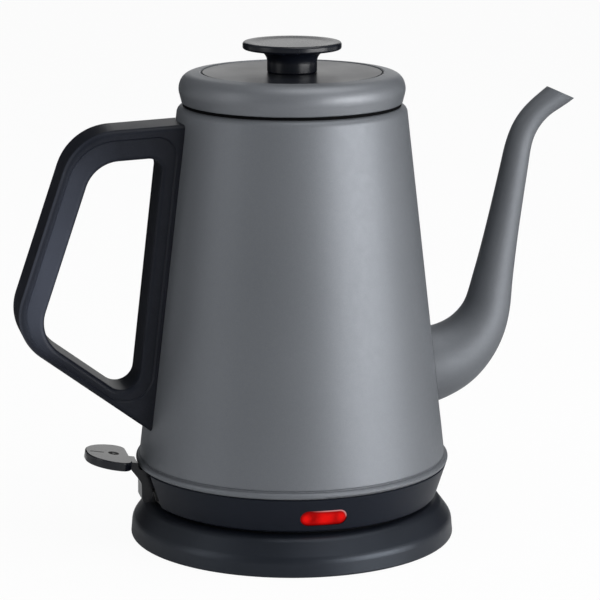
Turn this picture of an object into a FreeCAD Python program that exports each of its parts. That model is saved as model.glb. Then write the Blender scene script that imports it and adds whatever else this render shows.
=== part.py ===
import FreeCAD, Part
import math
import os
from FreeCAD import Placement, Rotation, Vector

# An electric gooseneck kettle on its power base. Millimetres, +Z up.
# The origin is on the kettle's axis, on the table.
# The spout points to +X, the handle to -X, the lamp to -Y.

# Clearances
RUNNING_FIT = 0.05      # a pin that turns or slides in its hole
SEAT_FIT = 0.1          # a fixed piece in its seat
MOVING_GAP = 0.3        # bodies that move past each other

# Overall sizes
BASE_TOP = 17.0         # height of the face that the kettle stands on
HOUSING_HEIGHT = 15.6
BODY_HEIGHT = 151.2     # from the cone's foot to its shoulder
BODY_FOOT_RADIUS = 68.2
BODY_SHOULDER_RADIUS = 50.65

# Power base
BASE_LEDGE = 0.6        # the top face reaches this far past the housing
BASE_SPREAD = 7.4       # from the top face's edge out to the widest line
BASE_SLOPE = 9.2        # height of the rounded slope
BASE_SLOPE_ROUND = 6.0
BASE_DRAFT = 0.65
BASE_LIP_ROUND = 0.8
BASE_EDGE_ROUND = 6.0
BASE_WALL = 2.4
FOOT_GAP = 0.3          # the cover's lower edge stands this far off the table
FOOT_INSET = 10.6
FOOT_WIDTH = 7.0
FOOT_THICKNESS = 2.0
BASE_PLATE_THICKNESS = 2.4
BASE_POST_INSET = 17.0  # from the foot's edge in to the screw posts
BASE_POST_ANGLES = (30, 150, 270)
BASE_POST_RADIUS = 4.0
BASE_POST_CAP = 1.0     # solid end of a post
BASE_SCREW_RADIUS = 1.4
BASE_SCREW_HEAD = 3.0
BASE_SCREW_HEAD_HEIGHT = 1.2
BASE_SCREW_SEAT = 1.0   # plate left over a screw's head
BASE_SCREW_LENGTH = 10.0
GLAND_HEIGHT = 7.4
GLAND_RADIUS = 4.2
GLAND_BORE = 3.2
GLAND_LENGTH = 5.4
GLAND_SUNK = 0.4

# Round connector between base and kettle
TOWER_RADIUS = 15.0
TOWER_ROUND = 1.5
TOWER_FLANGE = 6.0
TOWER_FLANGE_THICKNESS = 2.6
TOWER_ROOM = 1.5        # between the tower's top and the socket
WELL_DEPTH = 1.2        # the wells reach this far below the base's top face
WELL_ROUND = 1.0
LIVE_PIN_RADIUS = 2.0
LIVE_PIN_ROUND = 1.2
LIVE_CONTACT_HEIGHT = 5.0
LIVE_CONTACT_SLIT = 1.0
NEUTRAL_RADIUS = 9.1
NEUTRAL_ROOM = 1.1      # inside the neutral ring
NEUTRAL_CONTACT_HEIGHT = 8.0
NEUTRAL_CONTACT_ANGLE = 70
EARTH_GAP = 0.6         # between the tower and the earth ring
EARTH_CONTACT_DROP = 3.0
EARTH_CONTACT_ANGLE = 26
CONTACT_WALL = 0.8
CONTACT_ROUND = 0.3
CONTACT_LEAF = 0.5
CONTACT_RISE = 1.3      # the kettle's pin and rings end this far over the base's top face
SOCKET_LIP = 0.5
SOCKET_THICKNESS = 5.5
RING_COVER = 2.0        # insulator left over the rings

# Bottom housing of the kettle
STANDING_GAP = 1.2      # between the base and the housing's lower edge
HOUSING_STEP = 0.4      # the top edge is this far inside the bead
HOUSING_TAPER = 5.05    # the lower edge is this much smaller in radius
HOUSING_WALL = 2.2
HOUSING_LOW_BEVEL = 0.8
HOUSING_TOP_BEVEL = 0.4
HOUSING_SEAM = 0.2
FLOOR_THICKNESS = 1.6
FLOOR_RIB = 0.8         # height of the rib that stands on the base
FLOOR_RIB_INSET = 4.4
FLOOR_RIB_WIDTH = 3.0
LEDGE_WIDTH = 2.4
LEDGE_THICKNESS = 1.6
STUD_INSET = 11.4
STUD_ANGLES = (20, 120, 240)
STUD_RADIUS = 3.0
STUD_BOSS = 5.0
STUD_BOSS_HEIGHT = 2.6
STUD_CAP = 4.0          # solid end of a stud
HOUSING_SCREW_RADIUS = 1.25
HOUSING_SCREW_HEAD = 3.0
HOUSING_SCREW_HEAD_HEIGHT = 1.4
HOUSING_SCREW_LENGTH = 12.0

# Body
BODY_WALL = 0.9
BEAD_HEIGHT = 2.8
BEAD_PROUD = 1.5
BEAD_ROUND = 1.2
GROOVE_HEIGHT = 1.0     # between the bead and the cone's foot
GROOVE_DEPTH = 0.5
GROOVE_ROUND = 0.3
BODY_FOOT_ROUND = 0.4
RIM_RISE = 4.4          # from the cone's shoulder to the seat of the lid
SHOULDER_ROUND = 3.2
SHOULDER_BEVEL = (1.4, 4.0)  # width and height of the slant inside the shoulder
MOUTH_INSET = 3.8
NECK_DEPTH = 9.0

# Heater
PLATE_RISE = 4.2        # above the cone's foot
PLATE_THICKNESS = 1.2
PLATE_FLANGE = 6.0
PLATE_FLANGE_WALL = 1.0
PLATE_ROUND = 0.9
SPREADER_RADIUS = 43.0
SPREADER_THICKNESS = 2.5
SPREADER_SKIN = 0.4     # left over the control's screw holes
ELEMENT_INSET = 5.5
ELEMENT_RADIUS = 3.4
ELEMENT_FLAT = 0.2
ELEMENT_GAP_ANGLE = 60
TERMINAL_RADIUS = 1.3
TERMINAL_LENGTH = 8.0

# Control
CONTROL_WALL = 8.8
CONTROL_CEILING = 1.6
CONTROL_ROUND = 1.0
CONTROL_ROOM = 0.6      # over the housing's floor
CONTROL_FLANGE = 4.5
CONTROL_FLANGE_THICKNESS = 2.8
CONTROL_SCREW_OUTSET = 1.2
CONTROL_SCREW_ANGLES = (60, 240, 330)
CONTROL_SCREW_RADIUS = 1.6
CONTROL_SCREW_HEAD = 2.6
CONTROL_SCREW_HEAD_HEIGHT = 1.8
CONTROL_BOSS_RADIUS = 3.2
BIMETAL_ROOM = 2.1      # between the control and the spreader
BIMETAL_RADIUS = 8.0
BIMETAL_THICKNESS = 0.5
BIMETAL_OFFSET = 13.0
STEAM_ANGLE = 155
STEAM_TUBE_RADIUS = 4.0
STEAM_TUBE_WALL = 0.6
STEAM_TUBE_GAP = 1.05   # to the body's wall
STEAM_TUBE_DROP = 17.0  # its top is this far below the cone's shoulder
STEAM_TUBE_SLANT = 40
STEAM_TUBE_CUT = 5.0
STEAM_ROOM = 1.8        # between the tube and the control's arm
GROMMET_WIDTH = 2.0
GROMMET_LIP = 1.6
GROMMET_LIP_HEIGHT = 1.4
ARM_THICKNESS = 2.5
STEAM_ARM_RISE = 12.2   # over the housing's floor
STEAM_ARM_WIDTH = 14.0
STEAM_LEAF_REACH = 7.0  # from the tube's axis in towards the control
STEAM_LEAF_MARGIN = 1.0
ARM_ROOT = 2.0          # overlap of an arm with the control
BLADE_WIDTH = 6.0
BLADE_THICKNESS = 0.4
BLADE_DROP = 0.9        # below the control's top
BLADE_ROOT = 3.0

# Switch
PIVOT_INSET = 4.4       # from the housing's lower edge in to the pivot
PIVOT_RISE = 6.6        # over the housing's floor
PIVOT_PIN_RADIUS = 1.5
HUB_RADIUS = 3.6
LEVER_WIDTH = 11.0
STEM_INSET = 0.4        # from the housing's top edge in to the stem's outer face
STEM_THICKNESS = 4.8
STEM_FOOT = 1.3         # over the base's top face
STEM_RISE = 9.0         # from its lower end to where it bends out
ARM_REACH = 5.5         # from the housing's top edge out to where the arm meets the paddle
ARM_ROUND = 3.0
ARM_SUNK = 1.9          # of the arm's top under the paddle's top face
STEM_ROUND = 5.0
STEM_FOOT_ROUND = 2.0
STEM_BACK_ROUND = 1.0
BEAD_CLEARANCE = 0.9    # between the lever and the bead
PADDLE_LENGTH = 19.2
PADDLE_WIDTH = 31.0
PADDLE_THICKNESS = 3.9
PADDLE_ROUND = 0.5
PADDLE_CORNERS = (14.0, 5.0)  # rounds at its outer end and next to the body
PADDLE_REACH = 14.0     # from the housing's top edge out to the paddle's middle
PADDLE_RISE = 6.7       # of the paddle's middle over the housing
PADDLE_TILT = 9.0
TAIL_REACH = 13.5
TAIL_HEIGHT = 2.8
TAIL_WIDTH = 8.0
TAIL_ROUND = 0.8
NOTCH_WIDTH = 35.0
FRAME_EAR = 3.0
FRAME_DEPTH = 6.6
FRAME_RISE = 4.4        # of the ears over the pivot
FRAME_ROUND = 2.0
FRAME_FOOT = 1.2
PLUNGER_REACH = 11.0    # from the pivot to the plunger's axis
PLUNGER_RADIUS = 2.0
PLUNGER_HEAD = 2.8
PLUNGER_HEAD_HEIGHT = 0.5
PLUNGER_ROOM = 3.0      # between the guide and the contact blade
GUIDE_WIDTH = 9.0
GUIDE_MARGIN = 1.5

# Pilot lamp
LENS_WIDTH = 20.4
LENS_HEIGHT = 7.2
LENS_RISE = 6.7         # over the housing's lower edge
LENS_SUNK = 0.5
LENS_FLANGE = 1.6
LENS_FLANGE_THICKNESS = 1.2
NEON_RADIUS = 2.6
NEON_LENGTH = 14.0
NEON_INSET = 8.9        # from the housing's lower edge in to the lamp
HOLDER_WIDTH = 11.0
HOLDER_DEPTH = 7.0
HOLDER_CHEEK = 2.2
HOLDER_FOOT = 1.4
LEAD_RADIUS = 0.6
LEAD_BEND = 2.5
LEAD_SPREAD = 11.0

# Spout
SPOUT_ROOT_RISE = 36.2  # its axis meets the body this far above the cone's foot
SPOUT_ROOT_DIAMETER = 34.5
SPOUT_ROOT_HEADING = 15.4
SPOUT_LEAD = 1.0
SPOUT_LEAD_DIAMETER = 33.6
SPOUT_LOWER_BEND = 35.5
SPOUT_RISER_HEADING = 79.8
SPOUT_RISER_DIAMETER = 20.2
SPOUT_NECK_DROP = 18.25  # the upper bend starts this far below the body's shoulder
SPOUT_NECK_DIAMETER = 11.8
SPOUT_UPPER_BEND = 30.8
SPOUT_TIP_HEADING = 34.8
SPOUT_TIP_DIAMETER = 10.8
SPOUT_TIP_RUN = 8.2     # from the upper bend to the middle of the lip
SPOUT_LIP_DIAMETER = 11.6
SPOUT_LIP_ANGLE = 24.1
SPOUT_WALL = 0.9
SPOUT_INSET = 14.0
SPOUT_OVERRUN = 9.0
SPOUT_STEP = 8.0        # between the sections that shape it

# Handle
HANDLE_TOP_DROP = 1.5   # its top line meets the body this far below the shoulder
HANDLE_TOP_FALL = 2.4   # fall of the top line from the body to the handle's shoulder
HANDLE_SHOULDER_REACH = 46.0  # out from the body's wall
HANDLE_SHOULDER_ROUND = 25.5
HANDLE_ELBOW_REACH = 58.4  # out from the cone's foot
HANDLE_ELBOW_RISE = 59.8  # above the cone's foot
HANDLE_ELBOW_ROUND = 22.5
HANDLE_FOOT_RISE = 14.9  # its lower line meets the body this far above the cone's foot
HANDLE_RUN_IN = 12.0    # the loop is drawn this far into the body before it is fitted
HANDLE_WIDTH = 25.0
HANDLE_TOP_BAR = 13.7
HANDLE_GRIP = 11.9
HANDLE_LOWER_BAR = 6.5
HANDLE_BACK_BAR = 6.7
HANDLE_HOLE_ROUNDS = (5.0, 16.0, 16.0, 7.8)
HANDLE_BAND = (9.0, 8.4, 3.8, 5.6)  # sunk band above, outside, below and behind the hole
HANDLE_BAND_ROUNDS = (8.0, 22.0, 22.0, 12.0)
HANDLE_BAND_DEPTH = 1.0
HANDLE_BAND_BEVEL = 0.7
HANDLE_OUTER_EDGE = 2.4
HANDLE_HOLE_EDGE = 2.2
LUG_WIDTH = 12.0
LUG_THICKNESS = 2.0
UPPER_LUG_REACH = 17.2
LOWER_LUG_REACH = 13.0
LUG_BACK = 10.0         # height of the lug's foot on the body's wall
LUG_FOOT_THICKNESS = 1.0
LUG_ROOT = 6.0          # drawn this far into the body before it is fitted
UPPER_LUG_DROP = 9.0    # below the cone's shoulder
LOWER_LUG_RISE = 27.2   # above the cone's foot
HANDLE_SCREW_INSET = 4.0  # from the lug's end
HANDLE_SCREW_SEAT = 3.0  # handle left between the lug and the screw's head
HANDLE_SCREW_GRIP = 0.6  # screw past the lug
HANDLE_SCREW_WAY = 20.0
HANDLE_SCREW_RADIUS = 1.7
HANDLE_SCREW_HEAD = 3.0
HANDLE_SCREW_HEAD_HEIGHT = 2.0

# Lid
SEAL_THICKNESS = 1.3
SEAL_REACH = 0.9        # past the mouth
SEAL_LIP = 0.9
SEAL_LIP_ROUND = 0.4
SEAL_LIP_RISE = 2.0     # over the lower end of the neck
LINER_GAP = 1.4         # between the liner's skirt and the mouth
LINER_WALL = 0.8
LINER_DEPTH = 11.0
LID_INSET = 0.9         # the lid's widest line is this far inside the body's shoulder
LID_LOW_INSET = 1.5
LID_LOW_ROUND = 0.5
LID_BELLY = 6.0         # height of the widest line over the lid's lower edge
LID_BELLY_ROUND = 7.0
LID_CROWN = (1.6, 1.2)  # corner of the crown, in from the widest line and down from the top
LID_CROWN_ROUND = 6.0
LID_EDGE_ROUND = 0.8
LID_RISE = 13.4         # height of the lid's top edge over its lower edge
LID_WALL = 1.2
LID_LINING = (2.6, 4.4)  # corner of the crown inside the wall
LID_LINING_ROUND = 4.0
DISC_INSET = 10.1
DISC_THICKNESS = 1.8
DISC_SUNK = 0.4
DISC_BEVEL = 0.6
KNOB_RADIUS = 21.6
KNOB_STEM_RADIUS = 10.9
KNOB_STEM_FOOT_ROUND = 0.6
KNOB_STEM_ROUND = 5.0
KNOB_FLARE = 1.2        # rise of the knob's underside
KNOB_HEIGHT = 13.3
KNOB_RIM = 3.15
KNOB_RIM_ROUNDS = (1.0, 1.2)
KNOB_DISH = (3.0, 7.0, 0.5)  # the dish starts and ends this far from the rim, and is this deep
KNOB_DISH_ROUNDS = (4.0, 8.0)
KNOB_SCREW_RADIUS = 2.0
KNOB_SCREW_HEAD = 4.0
KNOB_SCREW_HEAD_HEIGHT = 1.6
KNOB_SCREW_DEPTH = 8.0

# Levels that follow from the sizes above
UP = Vector(0, 0, 1)
ALONG_X = Vector(1, 0, 0)
ALONG_Y = Vector(0, 1, 0)
PAST = 1.0              # a cut runs this far past the face it opens
BASE_CEILING = BASE_TOP - BASE_WALL
BASE_SHOULDER = BASE_TOP - BASE_SLOPE
BASE_PLATE_TOP = FOOT_GAP + BASE_PLATE_THICKNESS
TOWER_FLANGE_LOW = BASE_CEILING - TOWER_FLANGE_THICKNESS
TOWER_FLOOR = BASE_TOP - WELL_DEPTH
CONTACT_FOOT = BASE_TOP + CONTACT_RISE
FLOOR_LOW = BASE_TOP + FLOOR_RIB
FLOOR_TOP = FLOOR_LOW + FLOOR_THICKNESS
STUD_LOW = FLOOR_TOP + STUD_BOSS_HEIGHT
HOUSING_LOW = BASE_TOP + STANDING_GAP
HOUSING_TOP = HOUSING_LOW + HOUSING_HEIGHT
BEAD_LOW = HOUSING_TOP + HOUSING_SEAM
BEAD_TOP = BEAD_LOW + BEAD_HEIGHT
BODY_FOOT = BEAD_TOP + GROOVE_HEIGHT
BODY_SHOULDER = BODY_FOOT + BODY_HEIGHT
BODY_RIM = BODY_SHOULDER + RIM_RISE
PLATE_LOW = BODY_FOOT + PLATE_RISE
PLATE_TOP = PLATE_LOW + PLATE_THICKNESS
SPREADER_LOW = PLATE_LOW - SPREADER_THICKNESS
ELEMENT_Z = SPREADER_LOW - ELEMENT_RADIUS + ELEMENT_FLAT
CONTROL_TOP = SPREADER_LOW - BIMETAL_ROOM
CONTROL_FLANGE_LOW = CONTROL_TOP - CONTROL_FLANGE_THICKNESS
CONTROL_LOW = FLOOR_TOP + CONTROL_ROOM
SOCKET_TOP = CONTROL_TOP - CONTROL_CEILING - MOVING_GAP
SOCKET_LOW = SOCKET_TOP - SOCKET_THICKNESS
RING_TOP = SOCKET_TOP - RING_COVER
TOWER_TOP = SOCKET_LOW - TOWER_ROOM
STEAM_ARM_TOP = FLOOR_TOP + STEAM_ARM_RISE
STEAM_TUBE_LOW = STEAM_ARM_TOP + STEAM_ROOM
STEAM_TUBE_TOP = BODY_SHOULDER - STEAM_TUBE_DROP
BLADE_LOW = CONTROL_TOP - BLADE_DROP
GUIDE_TOP = BLADE_LOW - PLUNGER_ROOM
GUIDE_LOW = GUIDE_TOP - ARM_THICKNESS
PIVOT_Z = FLOOR_TOP + PIVOT_RISE
STEM_LOW = BASE_TOP + STEM_FOOT
PADDLE_TOP = HOUSING_TOP + PADDLE_RISE
LENS_Z = HOUSING_LOW + LENS_RISE
SPOUT_ROOT_Z = BODY_FOOT + SPOUT_ROOT_RISE
HANDLE_TOP = BODY_SHOULDER - HANDLE_TOP_DROP
HANDLE_FOOT = BODY_FOOT + HANDLE_FOOT_RISE
LUG_PLACES = [
    (BODY_SHOULDER - UPPER_LUG_DROP, UPPER_LUG_REACH),
    (BODY_FOOT + LOWER_LUG_RISE, LOWER_LUG_REACH),
]
LID_LOW = BODY_RIM + SEAL_THICKNESS
LID_TOP = LID_LOW + LID_RISE
DISC_TOP = LID_TOP - DISC_SUNK
DISC_LOW = DISC_TOP - DISC_THICKNESS
LID_DECK = DISC_LOW - LID_WALL


def body_radius(z):
    """Outer radius of the body's cone at a height."""
    share = (z - BODY_FOOT) / BODY_HEIGHT
    return BODY_FOOT_RADIUS + share * (BODY_SHOULDER_RADIUS - BODY_FOOT_RADIUS)


def housing_radius(z):
    """Outer radius of the tapered bottom housing at a height."""
    return HOUSING_TOP_RADIUS - HOUSING_TAPER * (HOUSING_TOP - z) / HOUSING_HEIGHT


def around(angle, circle):
    """Place on a circle about the axis, as x and y."""
    return circle * math.cos(math.radians(angle)), circle * math.sin(math.radians(angle))


# Radii and places that follow from the sizes above
BEAD_RADIUS = body_radius(BEAD_TOP) + BEAD_PROUD
HOUSING_TOP_RADIUS = BEAD_RADIUS - HOUSING_STEP
HOUSING_LOW_RADIUS = HOUSING_TOP_RADIUS - HOUSING_TAPER
BASE_TOP_RADIUS = HOUSING_LOW_RADIUS + BASE_LEDGE
BASE_RADIUS = BASE_TOP_RADIUS + BASE_SPREAD
FOOT_RADIUS = BASE_RADIUS - FOOT_INSET
BASE_POSTS = [around(angle, FOOT_RADIUS - BASE_POST_INSET) for angle in BASE_POST_ANGLES]
TOWER_FLANGE_RADIUS = TOWER_RADIUS + TOWER_FLANGE
LIVE_WELL_RADIUS = LIVE_PIN_RADIUS + MOVING_GAP + CONTACT_LEAF + SEAT_FIT
NEUTRAL_SLOT_IN = NEUTRAL_RADIUS - CONTACT_WALL - NEUTRAL_ROOM
NEUTRAL_SLOT_OUT = NEUTRAL_RADIUS + MOVING_GAP + CONTACT_LEAF + SEAT_FIT
EARTH_RADIUS = TOWER_RADIUS + EARTH_GAP + CONTACT_WALL
SOCKET_RADIUS = EARTH_RADIUS + SOCKET_LIP
STUD_CIRCLE = HOUSING_LOW_RADIUS - STUD_INSET
STUDS = [around(angle, STUD_CIRCLE) for angle in STUD_ANGLES]
PLATE_RADIUS = body_radius(PLATE_TOP) - BODY_WALL - SEAT_FIT
ELEMENT_CIRCLE = SPREADER_RADIUS - ELEMENT_INSET
ELEMENT_ENDS = (180 - ELEMENT_GAP_ANGLE / 2, 180 + ELEMENT_GAP_ANGLE / 2)
CONTROL_BORE = SOCKET_RADIUS + MOVING_GAP
CONTROL_RADIUS = CONTROL_BORE + CONTROL_WALL
CONTROL_SCREWS = [around(angle, CONTROL_RADIUS + CONTROL_SCREW_OUTSET) for angle in CONTROL_SCREW_ANGLES]
STEAM_CIRCLE = body_radius(STEAM_TUBE_TOP) - BODY_WALL - STEAM_TUBE_GAP - STEAM_TUBE_RADIUS
STEAM_XY = around(STEAM_ANGLE, STEAM_CIRCLE)
PIVOT_X = PIVOT_INSET - HOUSING_LOW_RADIUS
STEM_OUTER_X = STEM_INSET - HOUSING_TOP_RADIUS
ARM_BEND_X = -HOUSING_TOP_RADIUS - ARM_REACH
PADDLE_CENTRE_X = -HOUSING_TOP_RADIUS - PADDLE_REACH
PLUNGER_X = PIVOT_X + PLUNGER_REACH
NEON_Y = NEON_INSET - HOUSING_LOW_RADIUS
OUTSIDE_Y = -BASE_RADIUS  # in front of the lens
MOUTH_RADIUS = BODY_SHOULDER_RADIUS - MOUTH_INSET
LINER_RADIUS = MOUTH_RADIUS - LINER_GAP
SEAL_RADIUS = MOUTH_RADIUS + SEAL_REACH
LID_RADIUS = BODY_SHOULDER_RADIUS - LID_INSET
LID_LOW_RADIUS = LID_RADIUS - LID_LOW_INSET
DISC_RADIUS = LID_RADIUS - DISC_INSET
KNOB_TOP = DISC_TOP + KNOB_HEIGHT


def outline(corners):
    """Closed wire in the XZ plane through corners (x, z), with tangent arcs at corners (x, z, radius)."""
    spans = []
    for i, corner in enumerate(corners):
        here = Vector(corner[0], 0, corner[1])
        if len(corner) < 3:
            spans.append((here, None, here))
            continue
        before = corners[i - 1]
        after = corners[(i + 1) % len(corners)]
        back = (Vector(before[0], 0, before[1]) - here).normalize()
        ahead = (Vector(after[0], 0, after[1]) - here).normalize()
        half = back.getAngle(ahead) / 2
        reach = corner[2] / math.tan(half)
        inward = (back + ahead).normalize()
        middle = here + inward * (corner[2] / math.sin(half) - corner[2])
        spans.append((here + back * reach, middle, here + ahead * reach))
    edges = []
    for i, (start, middle, end) in enumerate(spans):
        if middle:
            edges.append(Part.Arc(start, middle, end).toShape())
        following = spans[(i + 1) % len(spans)][0]
        if (following - end).Length > 1e-6:
            edges.append(Part.LineSegment(end, following).toShape())
    return Part.Wire(edges)


def outward(shape):
    """The same solid with its faces pointing out."""
    if shape.Volume < 0:
        shape.reverse()
    return shape


def turned(corners, degrees=360):
    """Solid of revolution about the kettle's axis from a profile of (radius, z) corners."""
    return outward(Part.Face(outline(corners)).revolve(Vector(), UP, degrees))


def slab(corners, width, middle=0):
    """Plate with an XZ outline, as wide as given along Y."""
    face = Part.Face(outline(corners))
    face.translate(Vector(0, middle - width / 2, 0))
    return outward(face.extrude(Vector(0, width, 0)))


def rod(radius, z_low, z_high, x=0, y=0):
    return Part.makeCylinder(radius, z_high - z_low, Vector(x, y, z_low))


def tube(outer, inner, z_low, z_high, x=0, y=0):
    return rod(outer, z_low, z_high, x, y).cut(rod(inner, z_low, z_high, x, y))


def cross_rod(radius, width, x, z):
    """Rod along Y, centred on the XZ plane."""
    return Part.makeCylinder(radius, width, Vector(x, -width / 2, z), ALONG_Y)


def block(low, high):
    size = Vector(*high) - Vector(*low)
    return Part.makeBox(size.x, size.y, size.z, Vector(*low))


def above(x, y, z, tilt):
    """Large block over a plane through a point, tilted about Y."""
    size = 2 * BASE_RADIUS
    lump = Part.makeBox(size, size, size, Vector(-size / 2, -size / 2, 0))
    lump.Placement = Placement(Vector(x, y, z), Rotation(ALONG_Y, tilt))
    return lump


def swung(shape, angle):
    """Copy of a shape turned about the kettle's axis."""
    turned_copy = shape.copy()
    turned_copy.rotate(Vector(), UP, angle)
    return turned_copy


def screw(shank, head, head_height, length, x, y, z):
    """Screw pointing up, with the top face of its head at z."""
    return rod(head, z - head_height, z, x, y).fuse(rod(shank, z, z + length, x, y)).removeSplitter()


def housing_cone(inset):
    """Solid frustum inside the housing's outer face by an inset."""
    low = HOUSING_LOW_RADIUS - inset
    return Part.makeCone(low, low + HOUSING_TAPER, HOUSING_HEIGHT, Vector(0, 0, HOUSING_LOW))


def body_cone(grow):
    """Solid frustum of the body's outer face, grown by a clearance and run past both ends."""
    low = body_radius(BEAD_LOW) + grow
    high = body_radius(LID_TOP) + grow
    return Part.makeCone(low, high, LID_TOP - BEAD_LOW, Vector(0, 0, BEAD_LOW))


def pill(grow):
    """Bar through the housing's front wall with the lens's long round section, grown all round."""
    half_width = LENS_WIDTH / 2 + grow
    half_height = LENS_HEIGHT / 2 + grow
    middle = 2 * (half_width - half_height)
    bar = block((-middle / 2, OUTSIDE_Y, LENS_Z - half_height), (middle / 2, NEON_Y, LENS_Z + half_height))
    length = NEON_Y - OUTSIDE_Y
    for x in (-middle / 2, middle / 2):
        bar = bar.fuse(Part.makeCylinder(half_height, length, Vector(x, OUTSIDE_Y, LENS_Z), ALONG_Y))
    return bar.removeSplitter()


NODES = {}


def keep(name, *solids):
    """Name a piece. Several solids under one name are a group of like pieces."""
    NODES[name] = solids[0] if len(solids) == 1 else Part.makeCompound(list(solids))


# Power base

def base_cover():
    """Moulded cover with a rounded slope, screw posts under its top and a hole for the cord's gland."""
    wall_foot = BASE_RADIUS - BASE_WALL
    half_wall = BASE_WALL / 2
    shell = turned([
        (BASE_RADIUS, FOOT_GAP, BASE_LIP_ROUND),
        (BASE_RADIUS - BASE_DRAFT, BASE_SHOULDER, BASE_SLOPE_ROUND),
        (BASE_TOP_RADIUS, BASE_TOP, BASE_EDGE_ROUND),
        (TOWER_RADIUS + MOVING_GAP, BASE_TOP),
        (TOWER_RADIUS + MOVING_GAP, BASE_CEILING),
        (BASE_TOP_RADIUS - half_wall, BASE_CEILING, BASE_EDGE_ROUND),
        (wall_foot - BASE_DRAFT, BASE_SHOULDER - half_wall, BASE_SLOPE_ROUND - BASE_WALL),
        (wall_foot, FOOT_GAP),
    ])
    for x, y in BASE_POSTS:
        shell = shell.fuse(rod(BASE_POST_RADIUS, BASE_PLATE_TOP, BASE_CEILING, x, y))
    bore_top = BASE_CEILING - BASE_POST_CAP
    for x, y in BASE_POSTS:
        shell = shell.cut(rod(BASE_SCREW_RADIUS + RUNNING_FIT, BASE_PLATE_TOP, bore_top, x, y))
    return shell.cut(gland_rod(GLAND_RADIUS, 0, BASE_WALL + BASE_SPREAD)).removeSplitter()


def gland_rod(radius, depth, length):
    """Rod into the back of the base, from a depth under its widest line."""
    return Part.makeCylinder(radius, length, Vector(0, BASE_RADIUS - depth, GLAND_HEIGHT), -ALONG_Y)


def base_plate():
    """Flat plate under the base, with a groove for the foot and a ring that holds the tower's flange up."""
    plate = rod(BASE_RADIUS - BASE_WALL - BASE_DRAFT - SEAT_FIT, FOOT_GAP, BASE_PLATE_TOP)
    ring = tube(TOWER_FLANGE_RADIUS, TOWER_FLANGE_RADIUS - BASE_WALL, BASE_PLATE_TOP, TOWER_FLANGE_LOW)
    plate = plate.fuse(ring).removeSplitter()
    groove_in = FOOT_RADIUS - FOOT_WIDTH - SEAT_FIT
    plate = plate.cut(tube(FOOT_RADIUS + SEAT_FIT, groove_in, FOOT_GAP, FOOT_THICKNESS))
    for x, y in BASE_POSTS:
        plate = plate.cut(rod(BASE_SCREW_HEAD + SEAT_FIT, FOOT_GAP, BASE_PLATE_TOP - BASE_SCREW_SEAT, x, y))
        plate = plate.cut(rod(BASE_SCREW_RADIUS + RUNNING_FIT, FOOT_GAP, BASE_PLATE_TOP, x, y))
    return plate


def base_screw(x, y):
    z = BASE_PLATE_TOP - BASE_SCREW_SEAT
    return screw(BASE_SCREW_RADIUS, BASE_SCREW_HEAD, BASE_SCREW_HEAD_HEIGHT, BASE_SCREW_LENGTH, x, y, z)


def cord_gland():
    """Plain bush in the back wall of the base, where the mains lead would enter."""
    bush = gland_rod(GLAND_RADIUS - SEAT_FIT, BASE_DRAFT + GLAND_SUNK, GLAND_LENGTH)
    return bush.cut(gland_rod(GLAND_BORE, 0, BASE_RADIUS))


def connector_tower():
    """Round insulating tower with a well for the live pin and an annular slot for the neutral ring."""
    tower = turned([
        (0, TOWER_FLANGE_LOW),
        (TOWER_FLANGE_RADIUS, TOWER_FLANGE_LOW),
        (TOWER_FLANGE_RADIUS, BASE_CEILING),
        (TOWER_RADIUS, BASE_CEILING),
        (TOWER_RADIUS, TOWER_TOP, TOWER_ROUND),
        (NEUTRAL_SLOT_OUT, TOWER_TOP),
        (NEUTRAL_SLOT_OUT, TOWER_FLOOR),
        (NEUTRAL_SLOT_IN, TOWER_FLOOR),
        (NEUTRAL_SLOT_IN, TOWER_TOP, WELL_ROUND),
        (LIVE_WELL_RADIUS, TOWER_TOP),
        (LIVE_WELL_RADIUS, TOWER_FLOOR),
        (0, TOWER_FLOOR),
    ])
    return tower.cut(earth_strip(SEAT_FIT))


def earth_strip(spare):
    """Upright curved strip set into the tower's side towards the back, grown by a clearance."""
    inner = TOWER_RADIUS - CONTACT_LEAF - spare
    outer = TOWER_RADIUS + EARTH_GAP - MOVING_GAP
    high = TOWER_TOP - EARTH_CONTACT_DROP + spare
    spare_angle = math.degrees(spare / TOWER_RADIUS)
    strip = turned([
        (inner, BASE_TOP - spare), (outer, BASE_TOP - spare), (outer, high), (inner, high),
    ], EARTH_CONTACT_ANGLE + 2 * spare_angle)
    return swung(strip, 90 - EARTH_CONTACT_ANGLE / 2 - spare_angle)


def live_contact():
    """Sprung sleeve at the bottom of the live well."""
    outer = LIVE_WELL_RADIUS - SEAT_FIT
    high = TOWER_FLOOR + LIVE_CONTACT_HEIGHT
    half = LIVE_CONTACT_SLIT / 2
    sleeve = tube(outer, outer - CONTACT_LEAF, TOWER_FLOOR, high)
    return sleeve.cut(block((0, -half, TOWER_FLOOR), (outer + PAST, half, high)))


def neutral_contact():
    """Curved leaf against the outer wall of the neutral slot, towards the back."""
    outer = NEUTRAL_SLOT_OUT - SEAT_FIT
    inner = outer - CONTACT_LEAF
    high = TOWER_FLOOR + NEUTRAL_CONTACT_HEIGHT
    leaf = turned([
        (inner, TOWER_FLOOR), (outer, TOWER_FLOOR), (outer, high), (inner, high),
    ], NEUTRAL_CONTACT_ANGLE)
    return swung(leaf, 90 - NEUTRAL_CONTACT_ANGLE / 2)


# Kettle half of the connector

def contact_ring(outer):
    """Tube with a rounded lower edge, sunk in the insulator."""
    inner = outer - CONTACT_WALL
    return turned([
        (inner, CONTACT_FOOT, CONTACT_ROUND),
        (outer, CONTACT_FOOT, CONTACT_ROUND),
        (outer, RING_TOP),
        (inner, RING_TOP),
    ])


def live_pin():
    return turned([
        (0, CONTACT_FOOT),
        (LIVE_PIN_RADIUS, CONTACT_FOOT, LIVE_PIN_ROUND),
        (LIVE_PIN_RADIUS, SOCKET_TOP),
        (0, SOCKET_TOP),
    ])


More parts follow.
